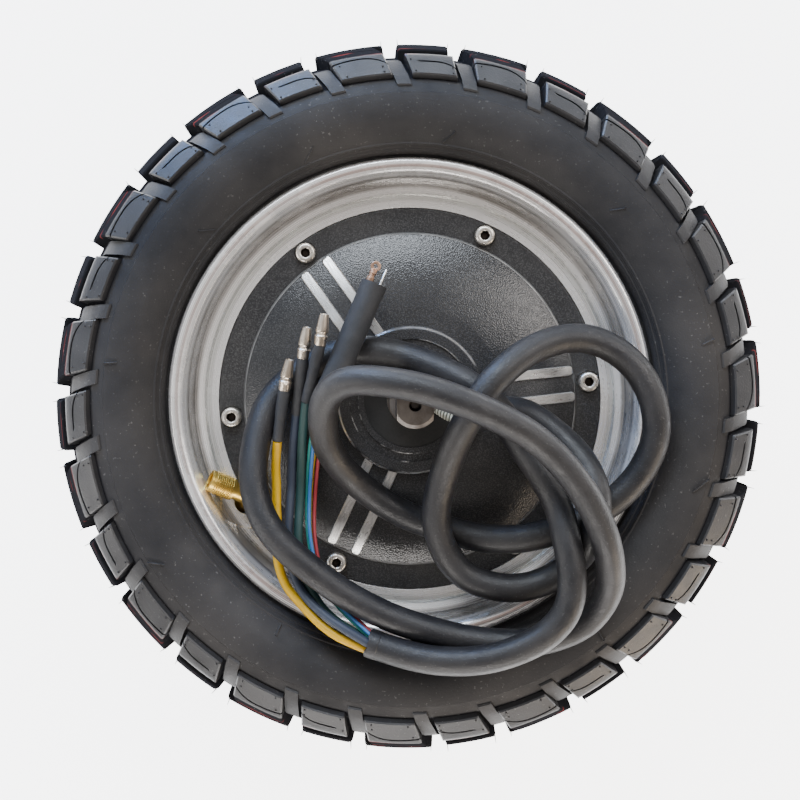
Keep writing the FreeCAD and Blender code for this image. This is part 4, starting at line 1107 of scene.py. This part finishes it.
# section of the cover's dome as (radius, height), from its foot to the boss
DOME = ([(59.4, 18.5), (58.7, 19.9)] + arc((58.1, 20.15), (44, 24.7), (33, 26.5), 16)
        + [(33, 26.5), (25.5, 26.85)])


def dome_height(radius):
    """Height of the dome's outer face."""
    return lookup(sorted(DOME), radius)


def make_bars():
    """Six ground bars in three pairs, which follow the dome and end round at the outside."""
    half, rise, bevel, pair = 1.7, 0.78, 0.28, 4.65
    inside, outside = 25.4, 57.2
    shell = Shell()
    for group in range(3):
        for side in (1, -1):
            turn = SCREW_ANGLE + 120 * group
            places = [inside + (outside - inside) * i / 40 for i in range(41)]
            places += [outside + half * math.sin(math.radians(15 * k)) for k in range(1, 6)]
            rows = []
            for x in places:
                width = half
                if x > outside:
                    width = math.sqrt(max(half ** 2 - (x - outside) ** 2, 0.05))
                edge = min(bevel, width * 0.4)
                cross = [(-width, -0.6), (-width, rise - bevel), (-width + edge, rise),
                         (0, rise + 0.02), (width - edge, rise), (width, rise - bevel),
                         (width, -0.6)]
                row = []
                for across, up in cross:
                    y = side * pair + across
                    radius = math.hypot(x, y)
                    swing = math.degrees(math.atan2(y, x)) + turn
                    row.append(polar(radius, swing, dome_height(radius) + up))
                rows.append(row)
            loops = shell.grid(rows, True, lambda i, j: (i * 0.22 + 40 * side + group, j * 2.2, group))
            shell.cap(loops[0])
            shell.cap(loops[-1])
    bars = shell.piece("cover_bars", "brushed_bar", TURNING, 30)


def make_cover_edge_highlight():
    """Thin light ring where the dome meets the flange: a painted highlight on the dome's edge."""
    shell = Shell()
    shell.turned([(58.7, 18.9), (59.45, 18.3), (59.5, 18.85), (59.0, 19.75), (58.75, 19.8)], 180)
    shell.piece("cover_edge_highlight", "painted_highlight_ring", TURNING, 40)


def make_screws():
    """Six cap screws: a rounded head with a hexagon socket, each turned as it happened to stop."""
    head = [(17.8, 3.5), (18.6, 3.5), (20.9, 3.5), (21.5, 3.38), (21.85, 3.1), (22, 2.7),
            (22, 2.0), (21.9, 1.75)]
    socket = [(21.5, 1.45), (19.9, 1.4), (19.3, 0.9)]
    turns = [7.5 * j for j in range(48)]
    corners = [1 / math.cos(math.radians(turn % 60 - 30)) for turn in turns]
    shell = Shell()
    for number in range(6):
        centre = polar(64, SCREW_ANGLE + 60 * number)
        stop = random.uniform(0, 60)
        rows = [[centre + polar(reach, turn + stop, height) for turn in turns]
                for height, reach in head]
        rows += [[centre + polar(reach * out, turn + stop, height)
                  for turn, out in zip(turns, corners)] for height, reach in socket]
        # the socket's rows are marked in the brush's X, where the socket is painted dark as shade
        shell.solid_ring(rows, lambda i, j: (i >= len(head), 0, 0))
    screws = shell.piece("cover_screw_heads", "screw_steel", TURNING, 40)
    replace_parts(screws, "front_cover_screws")


VALVE_BEND = polar(65.5, 212, 25)
VALVE_MOUTH = Vector((-70.6, -27.9, 29.7))


def make_valve_thread():
    """Fine thread on the valve's end, the turned rim of its mouth and the core's head in it."""
    along = (VALVE_MOUTH - VALVE_BEND).normalized()
    bar = Bar(VALVE_MOUTH - along * 9, VALVE_MOUTH)
    pitch, turns, root, crest, bore = 0.78, 9, 3.72, 4.12, 2.4
    profile = [(0.2, 3.2), (0.2, 3.86)]
    for i in range(turns):
        t = 0.7 + i * pitch
        profile += [(t, root), (t + 0.3, crest), (t + 0.42, crest), (t + 0.72, root)]
    profile += [(8.2, 3.86), (8.9, 3.84), (9.08, 3.6), (9.08, 2.8), (8.8, 2.55), (7.6, 2.52),
                (7.6, bore)]
    shell = Shell()
    # roots of the thread and the bore are marked in the brush's X, where the brass is darker and duller
    shell.grid(bar.rings(profile, 40), True, lambda i, j: (profile[i][1] in (root, bore), 0, 0))
    thread = shell.piece("valve_thread", "brass", TURNING, 30)
    core = Bar(VALVE_MOUTH - along * 4.2, VALVE_MOUTH)
    shell = Shell()
    shell.solid_ring(core.rings([(0, 2.3), (0.9, 2.3), (1.2, 1.9), (1.3, 0.9), (2.4, 0.75),
                                 (2.6, 0.55), (3.3, 0.5), (3.4, 0.2)], 24))
    head = shell.piece("valve_core_head", "brass", TURNING, 30)


# ---------------- floor and light

def make_floor():
    """Pale floor just under the tyre."""
    height, wide = cad_low.z - 0.0002, 3.0
    mesh = bpy.data.meshes.new("floor")
    corners = [(-wide, -wide, height), (wide, -wide, height), (wide, wide, height),
               (-wide, wide, height)]
    mesh.from_pydata(corners, [], [(0, 1, 2, 3)])
    mesh.materials.append(LOOKS["floor"])
    floor = bpy.data.objects.new("floor", mesh)
    bpy.context.scene.collection.objects.link(floor)


def soft_light(name, place, wide, tall, watts, color):
    """Panel that faces the wheel's centre."""
    data = bpy.data.lights.new(name, "AREA")
    data.shape = "RECTANGLE"
    data.size = wide
    data.size_y = tall
    data.energy = watts
    data.color = color
    light = bpy.data.objects.new(name, data)
    light.location = place
    light.rotation_euler = (-Vector(place)).to_track_quat("-Z", "Y").to_euler()
    bpy.context.scene.collection.objects.link(light)


def make_light():
    """Pale room, brighter and cooler towards the window at +Y, with six soft panels in it."""
    world = bpy.data.worlds.new("studio")
    bpy.context.scene.world = world
    world.use_nodes = True
    tree = world.node_tree
    sky = add_node(tree, "ShaderNodeTexCoord", {}, "Generated")
    east, north, _ = add_node(tree, "ShaderNodeSeparateXYZ", {0: sky}).node.outputs
    tilt = add_node(tree, "ShaderNodeMath", {0: east, 1: -0.5, 2: north},
                    operation="MULTIPLY_ADD")
    ramp = add_node(tree, "ShaderNodeValToRGB", {0: tilt})
    stops = ramp.node.color_ramp.elements
    stops[0].position, stops[0].color = 0.0, (0.46, 0.42, 0.39, 1)
    stops[1].position, stops[1].color = 0.8, (0.9, 1.0, 1.15, 1)
    stops.new(0.3).color = (0.9, 0.89, 0.87, 1)
    back = tree.nodes["Background"]
    tree.links.new(ramp, back.inputs[0])
    back.inputs[1].default_value = 0.75
    soft_light("window", (-0.15, 0.95, 0.8), 0.9, 0.35, 15, (0.85, 0.92, 1.0))
    soft_light("low_window", (-0.6, 1.0, 0.26), 0.5, 0.25, 11, (0.25, 0.48, 1.0))
    soft_light("warm_side", (0.9, -0.8, 0.45), 0.7, 0.4, 8, (1.0, 0.82, 0.62))
    soft_light("front", (-0.1, -1.05, 0.6), 0.9, 0.3, 11, (1.0, 0.96, 0.92))
    soft_light("left_strip", (-1.0, -0.35, 0.6), 0.25, 1.0, 5, (1, 0.97, 0.93))
    soft_light("right_panel", (0.8, 0.5, 0.9), 0.3, 0.8, 7, (1, 0.95, 0.9))


# ---------------- the whole wheel

make_camera()
make_cable()
make_phase_leads()
make_hall_wires()
make_tyre()
make_bars()
make_cover_edge_highlight()
make_screws()
make_valve_thread()
dress_nodes()
make_floor()
make_light()
